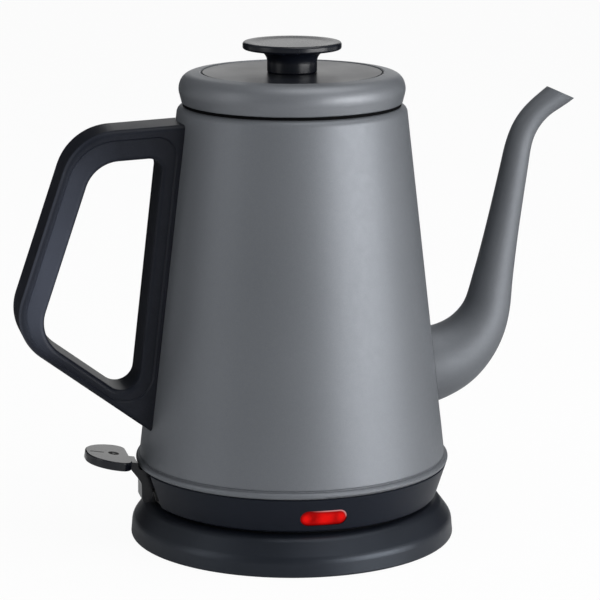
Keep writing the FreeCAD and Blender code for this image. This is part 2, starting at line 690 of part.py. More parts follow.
def socket_insulator():
    """Round insulator that carries the live pin and the two rings."""
    disc = tube(SOCKET_RADIUS, LIVE_PIN_RADIUS, SOCKET_LOW, SOCKET_TOP)
    for outer in (NEUTRAL_RADIUS, EARTH_RADIUS):
        disc = disc.cut(tube(outer, outer - CONTACT_WALL, SOCKET_LOW, RING_TOP))
    return disc


# Bottom housing

def bottom_housing():
    """Tapered skirt with a ledge on the floor, a window for the lens and a notch for the lever."""
    wall_low = housing_radius(FLOOR_TOP) - HOUSING_WALL
    skirt = turned([
        (HOUSING_LOW_RADIUS - HOUSING_LOW_BEVEL, HOUSING_LOW),
        (housing_radius(HOUSING_LOW + HOUSING_LOW_BEVEL), HOUSING_LOW + HOUSING_LOW_BEVEL),
        (housing_radius(HOUSING_TOP - HOUSING_TOP_BEVEL), HOUSING_TOP - HOUSING_TOP_BEVEL),
        (HOUSING_TOP_RADIUS - HOUSING_TOP_BEVEL, HOUSING_TOP),
        (HOUSING_TOP_RADIUS - HOUSING_WALL, HOUSING_TOP),
        (HOUSING_LOW_RADIUS - HOUSING_WALL, HOUSING_LOW),
    ])
    ledge_top = FLOOR_TOP + LEDGE_THICKNESS
    ledge = tube(wall_low + HOUSING_WALL / 2, wall_low - LEDGE_WIDTH, FLOOR_TOP, ledge_top)
    room = LENS_WIDTH / 2 + LENS_FLANGE + SEAT_FIT
    flange_room = block((-room, OUTSIDE_Y, FLOOR_TOP - PAST), (room, NEON_Y, ledge_top + PAST))
    half = NOTCH_WIDTH / 2
    notch = block((-BASE_RADIUS, -half, HOUSING_LOW - PAST), (PIVOT_X + HUB_RADIUS, half, HOUSING_TOP + PAST))
    return skirt.fuse(ledge.cut(flange_room)).cut(notch).cut(pill(0))


def housing_floor():
    """Bottom cap with the rib it stands on, a hole for the connector and bosses under the studs."""
    floor = tube(HOUSING_LOW_RADIUS - HOUSING_WALL - SEAT_FIT, CONTROL_BORE, FLOOR_LOW, FLOOR_TOP)
    rib_out = HOUSING_LOW_RADIUS - FLOOR_RIB_INSET
    floor = floor.fuse(tube(rib_out, rib_out - FLOOR_RIB_WIDTH, BASE_TOP, FLOOR_LOW))
    for x, y in STUDS:
        floor = floor.fuse(rod(STUD_BOSS, FLOOR_TOP, STUD_LOW, x, y))
    for x, y in STUDS:
        floor = floor.cut(rod(HOUSING_SCREW_HEAD + SEAT_FIT, BASE_TOP, FLOOR_TOP, x, y))
        floor = floor.cut(rod(HOUSING_SCREW_RADIUS + SEAT_FIT, BASE_TOP, STUD_LOW, x, y))
    return floor.removeSplitter()


def mounting_stud(x, y):
    """Threaded stud that hangs from the heater plate."""
    bore = rod(HOUSING_SCREW_RADIUS + RUNNING_FIT, STUD_LOW, PLATE_LOW - STUD_CAP, x, y)
    return rod(STUD_RADIUS, STUD_LOW, PLATE_LOW, x, y).cut(bore)


def housing_screw(x, y):
    head = HOUSING_SCREW_HEAD
    height = HOUSING_SCREW_HEAD_HEIGHT
    return screw(HOUSING_SCREW_RADIUS, head, height, HOUSING_SCREW_LENGTH, x, y, FLOOR_TOP)


# Pot

def body_shell():
    """Conical pot wall with a bead at its foot, a rounded shoulder and a neck that the lid plugs."""
    wall = BODY_WALL
    foot = body_radius(BEAD_TOP)
    neck_low = BODY_RIM - NECK_DEPTH
    bevel_width, bevel_height = SHOULDER_BEVEL
    bevel_low = BODY_RIM - bevel_height
    shell = turned([
        (foot - wall, BEAD_LOW),
        (BEAD_RADIUS, BEAD_LOW, BEAD_ROUND),
        (BEAD_RADIUS, BEAD_TOP, BEAD_ROUND),
        (foot - GROOVE_DEPTH, BEAD_TOP, GROOVE_ROUND),
        (BODY_FOOT_RADIUS, BODY_FOOT, BODY_FOOT_ROUND),
        (body_radius(BODY_RIM), BODY_RIM, SHOULDER_ROUND),
        (MOUTH_RADIUS, BODY_RIM),
        (MOUTH_RADIUS, neck_low),
        (MOUTH_RADIUS + wall, neck_low),
        (MOUTH_RADIUS + wall, BODY_RIM - wall),
        (body_radius(BODY_RIM) - wall - bevel_width, BODY_RIM - wall),
        (body_radius(bevel_low) - wall, bevel_low),
        (BODY_FOOT_RADIUS - wall, BODY_FOOT),
        (foot - wall, BEAD_TOP - wall),
        (BEAD_RADIUS - wall, BEAD_TOP - wall),
        (BEAD_RADIUS - wall, BEAD_LOW + wall),
        (foot - wall, BEAD_LOW + wall),
    ])
    return shell.cut(gooseneck(SPOUT_WALL, PAST))


def along(x, z, heading, length, turn=0):
    """Point and heading at the end of a straight run, or of a bend by an angle."""
    start = math.radians(heading)
    if turn == 0:
        return x + length * math.cos(start), z + length * math.sin(start), heading
    radius = length / math.radians(turn)
    end = math.radians(heading + turn)
    x += radius * (math.sin(end) - math.sin(start))
    z += radius * (math.cos(start) - math.cos(end))
    return x, z, heading + turn


def spout_runs():
    """Runs of the spout's centre line from inside the body, as (length, turn, diameter at its end)."""
    lead = SPOUT_INSET + SPOUT_LEAD
    lower_turn = SPOUT_RISER_HEADING - SPOUT_ROOT_HEADING
    upper_turn = SPOUT_TIP_HEADING - SPOUT_RISER_HEADING
    lower = SPOUT_LOWER_BEND * math.radians(lower_turn)
    upper = SPOUT_UPPER_BEND * math.radians(-upper_turn)
    place = along(0, SPOUT_ROOT_Z, SPOUT_ROOT_HEADING, SPOUT_LEAD)
    z = along(*place, lower, lower_turn)[1]
    riser = (BODY_SHOULDER - SPOUT_NECK_DROP - z) / math.sin(math.radians(SPOUT_RISER_HEADING))
    return [
        (lead, 0, SPOUT_LEAD_DIAMETER),
        (lower, lower_turn, SPOUT_RISER_DIAMETER),
        (riser, 0, SPOUT_NECK_DIAMETER),
        (upper, upper_turn, SPOUT_TIP_DIAMETER),
        (SPOUT_TIP_RUN, 0, SPOUT_LIP_DIAMETER),
        (SPOUT_OVERRUN, 0, SPOUT_LIP_DIAMETER),
    ]


def spout_places():
    """Places (x, z, heading) of the sections along the spout, and of its tip before the overrun."""
    place = along(body_radius(SPOUT_ROOT_Z), SPOUT_ROOT_Z, SPOUT_ROOT_HEADING, -SPOUT_INSET)
    places = [(0, place)]
    passed = 0
    for length, turn, diameter in spout_runs():
        tip = place
        count = max(1, round(length / SPOUT_STEP))
        for step in range(1, count + 1):
            share = step / count
            places.append((passed + share * length, along(*tip, share * length, share * turn)))
        passed += length
        place = places[-1][1]
    return places, tip


def spout_diameter(passed):
    """Outer diameter after a length of the centre line, eased from run to run."""
    knots = [(0, SPOUT_ROOT_DIAMETER)]
    for length, turn, diameter in spout_runs():
        knots.append((knots[-1][0] + length, diameter))
    slopes = [(q[1] - p[1]) / (q[0] - p[0]) for p, q in zip(knots, knots[1:])]
    tangents = [slopes[0]] + [(a + b) / 2 for a, b in zip(slopes, slopes[1:])] + [slopes[-1]]
    for (start, first), (end, last), leave, arrive in zip(knots, knots[1:], tangents, tangents[1:]):
        if passed <= end + 1e-6:
            break
    span = end - start
    t = (passed - start) / span
    eased = (1 + 2 * t) * (1 - t) ** 2 * first + t * t * (3 - 2 * t) * last
    return eased + t * (1 - t) * span * ((1 - t) * leave - t * arrive)


def gooseneck(inset, overrun):
    """Solid tapered tube along the spout, smaller than its outside by an inset and longer at both ends."""
    sections = [(place, spout_diameter(passed)) for passed, place in spout_places()[0]]
    sections[0] = (along(*sections[0][0], -overrun), sections[0][1])
    sections[-1] = (along(*sections[-1][0], overrun), sections[-1][1])
    rings = []
    for (x, z, heading), diameter in sections:
        ring = Part.Wire(Part.makeCircle(diameter / 2 - inset))
        ring.Placement = Placement(Vector(x, 0, z), Rotation(ALONG_Y, 90 - heading))
        rings.append(ring)
    return outward(Part.makeLoft(rings, True, False))


def spout():
    """Hollow gooseneck, trimmed to the body's wall and cut to a slanted pouring lip."""
    neck = gooseneck(0, 0).cut(gooseneck(SPOUT_WALL, PAST))
    x, z, heading = spout_places()[1]
    return neck.cut(body_cone(RUNNING_FIT)).cut(above(x, 0, z, SPOUT_LIP_ANGLE))


def heater_plate():
    """Floor of the pot, with its edge turned down inside the shell."""
    flange_in = PLATE_RADIUS - PLATE_FLANGE_WALL
    flange_low = PLATE_TOP - PLATE_FLANGE
    plate = turned([
        (0, PLATE_LOW),
        (flange_in, PLATE_LOW),
        (flange_in, flange_low),
        (PLATE_RADIUS, flange_low),
        (PLATE_RADIUS, PLATE_TOP, PLATE_ROUND),
        (0, PLATE_TOP),
    ])
    return plate.cut(rod(STEAM_TUBE_RADIUS + GROMMET_WIDTH, PLATE_LOW, PLATE_TOP, *STEAM_XY))


def steam_tube():
    """Upright tube from the steam space to the steam bimetal, cut slanted at its top."""
    inner = STEAM_TUBE_RADIUS - STEAM_TUBE_WALL
    pipe = tube(STEAM_TUBE_RADIUS, inner, STEAM_TUBE_LOW, STEAM_TUBE_TOP, *STEAM_XY)
    return pipe.cut(above(*STEAM_XY, STEAM_TUBE_TOP - STEAM_TUBE_CUT, STEAM_TUBE_SLANT))


def steam_grommet():
    """Silicone bush that seals the steam tube in the heater plate."""
    outer = STEAM_TUBE_RADIUS + GROMMET_WIDTH
    bush = tube(outer - RUNNING_FIT, STEAM_TUBE_RADIUS, PLATE_LOW, PLATE_TOP, *STEAM_XY)
    lip = tube(outer + GROMMET_LIP, STEAM_TUBE_RADIUS, PLATE_TOP, PLATE_TOP + GROMMET_LIP_HEIGHT, *STEAM_XY)
    return bush.fuse(lip).removeSplitter()


def heat_spreader():
    """Thick plate that carries the element's heat into the pot's floor, notched for the steam tube."""
    disc = rod(SPREADER_RADIUS, SPREADER_LOW, PLATE_LOW)
    disc = disc.cut(rod(STEAM_TUBE_RADIUS + GROMMET_WIDTH + GROMMET_LIP, SPREADER_LOW, PLATE_LOW, *STEAM_XY))
    hole_top = PLATE_LOW - SPREADER_SKIN
    for x, y in CONTROL_SCREWS:
        disc = disc.cut(rod(CONTROL_SCREW_RADIUS + RUNNING_FIT, SPREADER_LOW, hole_top, x, y))
    return disc


def heating_element():
    """Sheathed element bent to an open ring, flattened where it is brazed to the spreader."""
    section = Part.makeCircle(ELEMENT_RADIUS, Vector(ELEMENT_CIRCLE, 0, ELEMENT_Z), ALONG_Y)
    ring = outward(Part.Face(Part.Wire(section)).revolve(Vector(), UP, 360 - ELEMENT_GAP_ANGLE))
    return swung(ring, ELEMENT_ENDS[1]).cut(rod(SPREADER_RADIUS, SPREADER_LOW, PLATE_LOW))


def element_terminals():
    """Cold pins that leave the two ends of the element."""
    pins = []
    for angle, side in zip(ELEMENT_ENDS, (1, -1)):
        place = Vector(*around(angle, ELEMENT_CIRCLE), ELEMENT_Z)
        tangent = Vector(*around(angle + side * 90, 1), 0)
        pins.append(Part.makeCylinder(TERMINAL_RADIUS, TERMINAL_LENGTH, place, tangent))
    return pins


# Control

def control_body():
    """Control moulding round the socket, with a guide for the plunger and an arm for the steam bimetal."""
    ceiling = SOCKET_TOP + MOVING_GAP
    flange_radius = CONTROL_RADIUS + CONTROL_FLANGE
    body = turned([
        (0, ceiling),
        (CONTROL_BORE, ceiling),
        (CONTROL_BORE, CONTROL_LOW),
        (CONTROL_RADIUS, CONTROL_LOW, CONTROL_ROUND),
        (CONTROL_RADIUS, CONTROL_FLANGE_LOW),
        (flange_radius, CONTROL_FLANGE_LOW),
        (flange_radius, CONTROL_TOP),
        (0, CONTROL_TOP),
    ])
    half = GUIDE_WIDTH / 2
    root = CONTROL_RADIUS - ARM_ROOT
    guide_end = PLUNGER_X - PLUNGER_HEAD - GUIDE_MARGIN
    body = body.fuse(block((guide_end, -half, GUIDE_LOW), (-root, half, GUIDE_TOP)))
    arm_low = STEAM_ARM_TOP - ARM_THICKNESS
    half = STEAM_ARM_WIDTH / 2
    arm = block((root, -half, arm_low), (STEAM_CIRCLE + STEAM_TUBE_RADIUS, half, STEAM_ARM_TOP))
    body = body.fuse(swung(arm, STEAM_ANGLE))
    for x, y in CONTROL_SCREWS:
        body = body.fuse(rod(CONTROL_BOSS_RADIUS, CONTROL_TOP, SPREADER_LOW, x, y))
    for x, y in CONTROL_SCREWS:
        body = body.cut(rod(CONTROL_SCREW_RADIUS + RUNNING_FIT, CONTROL_FLANGE_LOW, SPREADER_LOW, x, y))
        body = body.cut(rod(CONTROL_SCREW_HEAD + SEAT_FIT, CONTROL_LOW, CONTROL_FLANGE_LOW, x, y))
    body = body.cut(rod(PLUNGER_RADIUS + RUNNING_FIT, GUIDE_LOW, GUIDE_TOP, PLUNGER_X))
    return body.cut(blade(RUNNING_FIT)).removeSplitter()


def blade(spare):
    """Strip from inside the control's flange to above the plunger, grown by a clearance."""
    half = BLADE_WIDTH / 2 + spare
    return block(
        (PLUNGER_X - PLUNGER_RADIUS, -half, BLADE_LOW - spare),
        (BLADE_ROOT - CONTROL_RADIUS + spare, half, BLADE_LOW + BLADE_THICKNESS + spare),
    )


def control_screw(x, y):
    length = PLATE_LOW - SPREADER_SKIN - SEAT_FIT - CONTROL_FLANGE_LOW
    head = CONTROL_SCREW_HEAD
    return screw(CONTROL_SCREW_RADIUS, head, CONTROL_SCREW_HEAD_HEIGHT, length, x, y, CONTROL_FLANGE_LOW)


def bimetal_disc(side):
    """Snap disc against the spreader, which cuts the heater off when it runs dry."""
    return rod(BIMETAL_RADIUS, SPREADER_LOW - BIMETAL_THICKNESS, SPREADER_LOW, 0, side * BIMETAL_OFFSET)


def steam_bimetal():
    """Square leaf on the control's arm, in the steam that leaves the tube."""
    half = STEAM_ARM_WIDTH / 2 - STEAM_LEAF_MARGIN
    leaf = block(
        (STEAM_CIRCLE - STEAM_LEAF_REACH, -half, STEAM_ARM_TOP),
        (STEAM_CIRCLE + STEAM_TUBE_RADIUS, half, STEAM_ARM_TOP + BIMETAL_THICKNESS),
    )
    return swung(leaf, STEAM_ANGLE)


def trip_plunger():
    """Headed pin between the lever's tail and the contact blade."""
    pin = rod(PLUNGER_RADIUS, PIVOT_Z + TAIL_HEIGHT / 2 + MOVING_GAP, GUIDE_TOP, PLUNGER_X)
    head = rod(PLUNGER_HEAD, GUIDE_TOP, GUIDE_TOP + PLUNGER_HEAD_HEIGHT, PLUNGER_X)
    return pin.fuse(head).removeSplitter()


# Switch

def paddle_z(x):
    """Height of the paddle's tilted top face."""
    return PADDLE_TOP - (x - PADDLE_CENTRE_X) * math.tan(math.radians(PADDLE_TILT))


def paddle():
    """Plate with a round outer end and rounded edges."""
    half = PADDLE_WIDTH / 2
    end = PADDLE_LENGTH / 2
    outer, inner = PADDLE_CORNERS
    shape = [(-end, -half, outer), (end, -half, inner), (end, half, inner), (-end, half, outer)]
    plate = slab(shape, PADDLE_THICKNESS)
    plate = plate.makeFillet(PADDLE_ROUND, face_edges(plate, PADDLE_THICKNESS / 2))
    plate.rotate(Vector(), ALONG_X, 90)
    plate.translate(Vector(0, 0, -PADDLE_THICKNESS / 2))
    plate.rotate(Vector(), ALONG_Y, PADDLE_TILT)
    plate.translate(Vector(PADDLE_CENTRE_X, 0, PADDLE_TOP))
    return plate


def switch_lever():
    """Paddle on an arm that passes the bead and goes down into the housing, to a hub with a tail."""
    stem_in = STEM_OUTER_X + STEM_THICKNESS
    bend_z = STEM_LOW + STEM_RISE
    arm = slab([
        (PADDLE_CENTRE_X, paddle_z(PADDLE_CENTRE_X) - PADDLE_THICKNESS),
        (ARM_BEND_X, paddle_z(ARM_BEND_X) - PADDLE_THICKNESS, ARM_ROUND),
        (STEM_OUTER_X, bend_z, STEM_ROUND),
        (STEM_OUTER_X, STEM_LOW, STEM_FOOT_ROUND),
        (stem_in, STEM_LOW, STEM_BACK_ROUND),
        (stem_in, BEAD_LOW),
        (stem_in, paddle_z(stem_in) - ARM_SUNK),
        (PADDLE_CENTRE_X, paddle_z(PADDLE_CENTRE_X) - ARM_SUNK),
    ], LEVER_WIDTH)
    half = TAIL_HEIGHT / 2
    tail_end = PIVOT_X + TAIL_REACH
    low = PIVOT_Z - half
    high = PIVOT_Z + half
    web = slab([(stem_in, low), (PIVOT_X, low), (PIVOT_X, high), (stem_in, high)], LEVER_WIDTH)
    tail = slab([
        (PIVOT_X, low),
        (tail_end, low, TAIL_ROUND),
        (tail_end, high, TAIL_ROUND),
        (PIVOT_X, high),
    ], TAIL_WIDTH)
    lever = paddle().fuse([arm, cross_rod(HUB_RADIUS, LEVER_WIDTH, PIVOT_X, PIVOT_Z), web, tail])
    lever = lever.cut(cross_rod(PIVOT_PIN_RADIUS + RUNNING_FIT, LEVER_WIDTH, PIVOT_X, PIVOT_Z))
    room_low = BEAD_LOW - BEAD_CLEARANCE
    room_out = BEAD_RADIUS + BEAD_CLEARANCE
    bead_room = turned([
        (0, room_low),
        (room_out, room_low, BEAD_ROUND + BEAD_CLEARANCE),
        (room_out, BODY_FOOT),
        (0, BODY_FOOT),
    ])
    return lever.cut(bead_room).removeSplitter()


def switch_frame():
    """Bearing for the lever: two ears on a foot that stands on the housing's floor."""
    inner = LEVER_WIDTH / 2 + MOVING_GAP
    outer = inner + FRAME_EAR
    low_x = PIVOT_X - FRAME_DEPTH / 2
    high_x = PIVOT_X + FRAME_DEPTH
    top = PIVOT_Z + FRAME_RISE
    frame = block((PIVOT_X, -outer, FLOOR_TOP), (high_x, outer, FLOOR_TOP + FRAME_FOOT))
    for side in (1, -1):
        ear = slab([
            (low_x, FLOOR_TOP),
            (high_x, FLOOR_TOP),
            (high_x - FRAME_ROUND, top, FRAME_ROUND),
            (low_x, top, FRAME_ROUND),
        ], FRAME_EAR, side * (inner + outer) / 2)
        frame = frame.fuse(ear)
    return frame.cut(switch_pin()).removeSplitter()


def switch_pin():
    return cross_rod(PIVOT_PIN_RADIUS, LEVER_WIDTH + 2 * (MOVING_GAP + FRAME_EAR), PIVOT_X, PIVOT_Z)


# Pilot lamp

def pilot_lens():
    """Red lens that fills the window, held by a flange behind the wall."""
    wall_back = HOUSING_WALL + SEAT_FIT
    face = pill(-SEAT_FIT).common(housing_cone(LENS_SUNK))
    flange = pill(LENS_FLANGE).common(housing_cone(wall_back))
    return face.fuse(flange).cut(housing_cone(wall_back + LENS_FLANGE_THICKNESS)).removeSplitter()


def neon_lamp():
    """Small glass tube lamp behind the lens."""
    half = NEON_LENGTH / 2
    dome = NEON_RADIUS * 0.8
    lamp = turned([(0, -half), (NEON_RADIUS, -half, dome), (NEON_RADIUS, half, dome), (0, half)])
    lamp.rotate(Vector(), ALONG_Y, 90)
    lamp.translate(Vector(0, NEON_Y, LENS_Z))
    return lamp


def lamp_holder():
    """Cradle on the housing's floor that carries the lamp between two cheeks."""
    half = HOLDER_WIDTH / 2
    low_y = NEON_Y - HOLDER_DEPTH / 2
    high_y = NEON_Y + HOLDER_DEPTH / 2
    cradle = block((-half, low_y, FLOOR_TOP), (half, high_y, FLOOR_TOP + HOLDER_FOOT))
    for left in (-half, half - HOLDER_CHEEK):
        cradle = cradle.fuse(block((left, low_y, FLOOR_TOP), (left + HOLDER_CHEEK, high_y, LENS_Z)))
    seat = Part.makeCylinder(NEON_RADIUS + RUNNING_FIT, HOLDER_WIDTH, Vector(-half, NEON_Y, LENS_Z), ALONG_X)
    return cradle.cut(seat).removeSplitter()


def lamp_lead(side):
    """Wire from one end of the lamp to the control."""
    control_y = -math.sqrt(CONTROL_RADIUS ** 2 - LEAD_SPREAD ** 2)
    slant = LEAD_BEND * (1 - math.sqrt(0.5))
    start = Vector(side * NEON_LENGTH / 2, NEON_Y, LENS_Z)
    turn_in = Vector(side * (LEAD_SPREAD - LEAD_BEND), NEON_Y, LENS_Z)
    middle = Vector(side * (LEAD_SPREAD - slant), NEON_Y + slant, LENS_Z)
    turn_out = Vector(side * LEAD_SPREAD, NEON_Y + LEAD_BEND, LENS_Z)
    end = Vector(side * LEAD_SPREAD, control_y - LEAD_RADIUS - SEAT_FIT, LENS_Z)
    path = Part.Wire([
        Part.LineSegment(start, turn_in).toShape(),
        Part.Arc(turn_in, middle, turn_out).toShape(),
        Part.LineSegment(turn_out, end).toShape(),
    ])
    section = Part.Wire(Part.makeCircle(LEAD_RADIUS, start, ALONG_X))
    return outward(path.makePipeShell([section], True, False))


# Handle

def inset_corners(corners, insets):
    """Corners of a polygon whose sides are moved inward. Side i runs from corner i to the next one."""
    count = len(corners)
    centre = Vector(sum(c[0] for c in corners) / count, 0, sum(c[1] for c in corners) / count)
    lines = []
    for i in range(count):
        start = Vector(corners[i][0], 0, corners[i][1])
        end = Vector(corners[(i + 1) % count][0], 0, corners[(i + 1) % count][1])
        direction = (end - start).normalize()
        normal = Vector(-direction.z, 0, direction.x)
        if normal.dot(centre - start) < 0:
            normal = normal * -1
        lines.append((start + normal * insets[i], direction))
    moved = []
    for i in range(count):
        p, d = lines[i - 1]
        q, e = lines[i]
        reach = ((q.x - p.x) * e.z - (q.z - p.z) * e.x) / (d.x * e.z - d.z * e.x)
        moved.append((p.x + d.x * reach, p.z + d.z * reach))
    return moved


def with_rounds(corners, rounds):
    return [corner + (radius,) for corner, radius in zip(corners, rounds)]


def handle_corners():
    """Outer corners: at the body's top, the shoulder, the elbow and the body's foot."""
    top_x = -body_radius(HANDLE_TOP)
    return [
        (top_x, HANDLE_TOP),
        (top_x - HANDLE_SHOULDER_REACH, HANDLE_TOP - HANDLE_TOP_FALL),
        (-BODY_FOOT_RADIUS - HANDLE_ELBOW_REACH, BODY_FOOT + HANDLE_ELBOW_RISE),
        (-body_radius(HANDLE_FOOT), HANDLE_FOOT),
    ]


def handle_hole():
    return inset_corners(handle_corners(), (HANDLE_TOP_BAR, HANDLE_GRIP, HANDLE_LOWER_BAR, HANDLE_BACK_BAR))


def run_on(start, end):
    """Point past the end of a line, inside the body."""
    slope = (end[1] - start[1]) / (end[0] - start[0])
    return end[0] + HANDLE_RUN_IN, end[1] + HANDLE_RUN_IN * slope


def handle():
    """Loop with rounded edges and a sunk band round the finger hole, fitted to the body's cone."""
    top, shoulder, elbow, foot = handle_corners()
    loop = slab([
        run_on(shoulder, top),
        shoulder + (HANDLE_SHOULDER_ROUND,),
        elbow + (HANDLE_ELBOW_ROUND,),
        run_on(elbow, foot),
    ], HANDLE_WIDTH)
    half = HANDLE_WIDTH / 2
    loop = loop.makeFillet(HANDLE_OUTER_EDGE, face_edges(loop, half))
    hole = handle_hole()
    band = with_rounds(inset_corners(hole, [-width for width in HANDLE_BAND]), HANDLE_BAND_ROUNDS)
    floor = half - HANDLE_BAND_DEPTH
    for side in (1, -1):
        loop = loop.cut(slab(band, HANDLE_WIDTH, side * (floor + half)))
    border = outline(band)
    rims = [edge for edge in face_edges(loop, half) if lies_on(edge, border)]
    loop = loop.makeChamfer(HANDLE_BAND_BEVEL, rims)
    hole = with_rounds(hole, HANDLE_HOLE_ROUNDS)
    loop = loop.cut(slab(hole, HANDLE_WIDTH))
    wall = outline(hole)
    rims = [edge for edge in face_edges(loop, floor) if lies_on(edge, wall)]
    loop = loop.makeFillet(HANDLE_HOLE_EDGE, rims)
    loop = loop.cut(body_cone(SEAT_FIT))
    for pocket in lugs(SEAT_FIT):
        loop = loop.cut(pocket)
    for x, z in handle_screw_places():
        seat = z - HANDLE_SCREW_SEAT
        end = z + LUG_THICKNESS + HANDLE_SCREW_GRIP + SEAT_FIT
        loop = loop.cut(rod(HANDLE_SCREW_RADIUS + SEAT_FIT, seat, end, x))
        loop = loop.cut(rod(HANDLE_SCREW_HEAD + SEAT_FIT, seat - HANDLE_SCREW_WAY, seat, x))
    return max(loop.Solids, key=lambda solid: solid.Volume)


def lies_on(edge, wall):
    """Is an edge's middle on a wire, as seen along Y?"""
    point = edge.valueAt((edge.FirstParameter + edge.LastParameter) / 2)
    return wall.distToShape(Part.Vertex(point.x, 0, point.z))[0] < RUNNING_FIT


def face_edges(shape, half_width):
    """Edges that lie flat in the two planes at a half width to either side."""
    chosen = []
    for edge in shape.Edges:
        box = edge.BoundBox
        if box.YLength < 1e-6 and abs(abs(box.YMin) - half_width) < 1e-6:
            chosen.append(edge)
    return chosen


def lugs(spare):
    """Angle lugs on the body's wall: a foot that follows the cone and a tongue inside the handle."""
    shapes = []
    half = LUG_WIDTH / 2 + spare
    half_back = LUG_BACK / 2 + spare
    for z, length in LUG_PLACES:
        wall_x = -body_radius(z)
        inside = wall_x + LUG_ROOT
        reach = wall_x - length - spare
        tongue = block((reach, -half, z - spare), (inside, half, z + LUG_THICKNESS + spare))
        foot = block((wall_x - LUG_ROOT, -half, z - half_back), (inside, half, z + half_back))
        foot = foot.common(body_cone(LUG_FOOT_THICKNESS + spare))
        shapes.append(foot.fuse(tongue).cut(body_cone(RUNNING_FIT)).removeSplitter())
    return shapes


def handle_brackets():
    brackets = []
    for lug, (x, z) in zip(lugs(0), handle_screw_places()):
        brackets.append(lug.cut(rod(HANDLE_SCREW_RADIUS + RUNNING_FIT, z, z + LUG_THICKNESS, x)))
    return brackets


def handle_screw_places():
    """Screws from below as (x, height of the lug)."""
    return [(HANDLE_SCREW_INSET - body_radius(z) - length, z) for z, length in LUG_PLACES]


def handle_screw(x, z):
    length = HANDLE_SCREW_SEAT + LUG_THICKNESS + HANDLE_SCREW_GRIP
    head = HANDLE_SCREW_HEAD
    return screw(HANDLE_SCREW_RADIUS, head, HANDLE_SCREW_HEAD_HEIGHT, length, x, 0, z - HANDLE_SCREW_SEAT)


# Lid

def lid_shell():
    """Painted ring with a full round edge and a sunk deck for the disc."""
    belly = LID_LOW + LID_BELLY
    inner = LID_RADIUS - LID_WALL
    seat = DISC_RADIUS + SEAT_FIT
    hole = KNOB_SCREW_RADIUS + SEAT_FIT
    return turned([
        (LID_LOW_RADIUS, LID_LOW, LID_LOW_ROUND),
        (LID_RADIUS, belly, LID_BELLY_ROUND),
        (LID_RADIUS - LID_CROWN[0], LID_TOP - LID_CROWN[1], LID_CROWN_ROUND),
        (seat, LID_TOP, LID_EDGE_ROUND),
        (seat, DISC_LOW),
        (hole, DISC_LOW),
        (hole, LID_DECK),
        (seat + LID_WALL, LID_DECK),
        (inner - LID_LINING[0], LID_TOP - LID_LINING[1], LID_LINING_ROUND),
        (inner, belly, LID_BELLY_ROUND - LID_WALL),
        (LID_LOW_RADIUS - LID_WALL, LID_LOW),
    ])


def lid_disc():
    """Plate in the lid's deck with a bevelled rim, bored for the knob's screw."""
    hole = KNOB_SCREW_RADIUS + SEAT_FIT
    return turned([
        (hole, DISC_LOW),
        (DISC_RADIUS, DISC_LOW),
        (DISC_RADIUS, DISC_TOP - DISC_BEVEL),
        (DISC_RADIUS - DISC_BEVEL, DISC_TOP),
        (hole, DISC_TOP),
    ])


def lid_knob():
    """Flared knob with a dished top, bored from below for its screw."""
    rim_low = KNOB_TOP - KNOB_RIM
    dish_start, dish_end, dish_depth = KNOB_DISH
    knob = turned([
        (0, DISC_TOP),
        (KNOB_STEM_RADIUS, DISC_TOP, KNOB_STEM_FOOT_ROUND),
        (KNOB_STEM_RADIUS, rim_low - KNOB_FLARE, KNOB_STEM_ROUND),
        (KNOB_RADIUS, rim_low, KNOB_RIM_ROUNDS[0]),
        (KNOB_RADIUS, KNOB_TOP, KNOB_RIM_ROUNDS[1]),
        (KNOB_RADIUS - dish_start, KNOB_TOP, KNOB_DISH_ROUNDS[0]),
        (KNOB_RADIUS - dish_end, KNOB_TOP - dish_depth, KNOB_DISH_ROUNDS[1]),
        (0, KNOB_TOP - dish_depth),
    ])
    return knob.cut(rod(KNOB_SCREW_RADIUS + RUNNING_FIT, DISC_TOP, DISC_TOP + KNOB_SCREW_DEPTH + PAST))


def lid_liner():
    """Steel cap under the lid: a plate with a skirt that plugs the mouth."""
    skirt_in = LINER_RADIUS - LINER_WALL
    plate_low = LID_LOW - LINER_WALL
    skirt_low = LID_LOW - LINER_DEPTH
    hole = KNOB_SCREW_RADIUS + SEAT_FIT
    return turned([
        (hole, plate_low),
        (skirt_in, plate_low),
        (skirt_in, skirt_low),
        (LINER_RADIUS, skirt_low),
        (LINER_RADIUS, LID_LOW),
        (hole, LID_LOW),
    ])


def lid_seal():
    """Silicone ring between the lid and the body's rim, with a lip down the liner's skirt."""
    lip_low = BODY_RIM - NECK_DEPTH + SEAL_LIP_RISE
    lip_out = LINER_RADIUS + SEAL_LIP
    return turned([
        (LINER_RADIUS, lip_low),
        (lip_out, lip_low, SEAL_LIP_ROUND),
        (lip_out, BODY_RIM),
        (SEAL_RADIUS, BODY_RIM),
        (SEAL_RADIUS, LID_LOW),
        (LINER_RADIUS, LID_LOW),
    ])


def knob_screw():
    """Screw from under the liner, through the lid and the disc into the knob."""
    head_top = LID_LOW - LINER_WALL
    length = DISC_TOP + KNOB_SCREW_DEPTH - head_top
    return screw(KNOB_SCREW_RADIUS, KNOB_SCREW_HEAD, KNOB_SCREW_HEAD_HEIGHT, length, 0, 0, head_top)


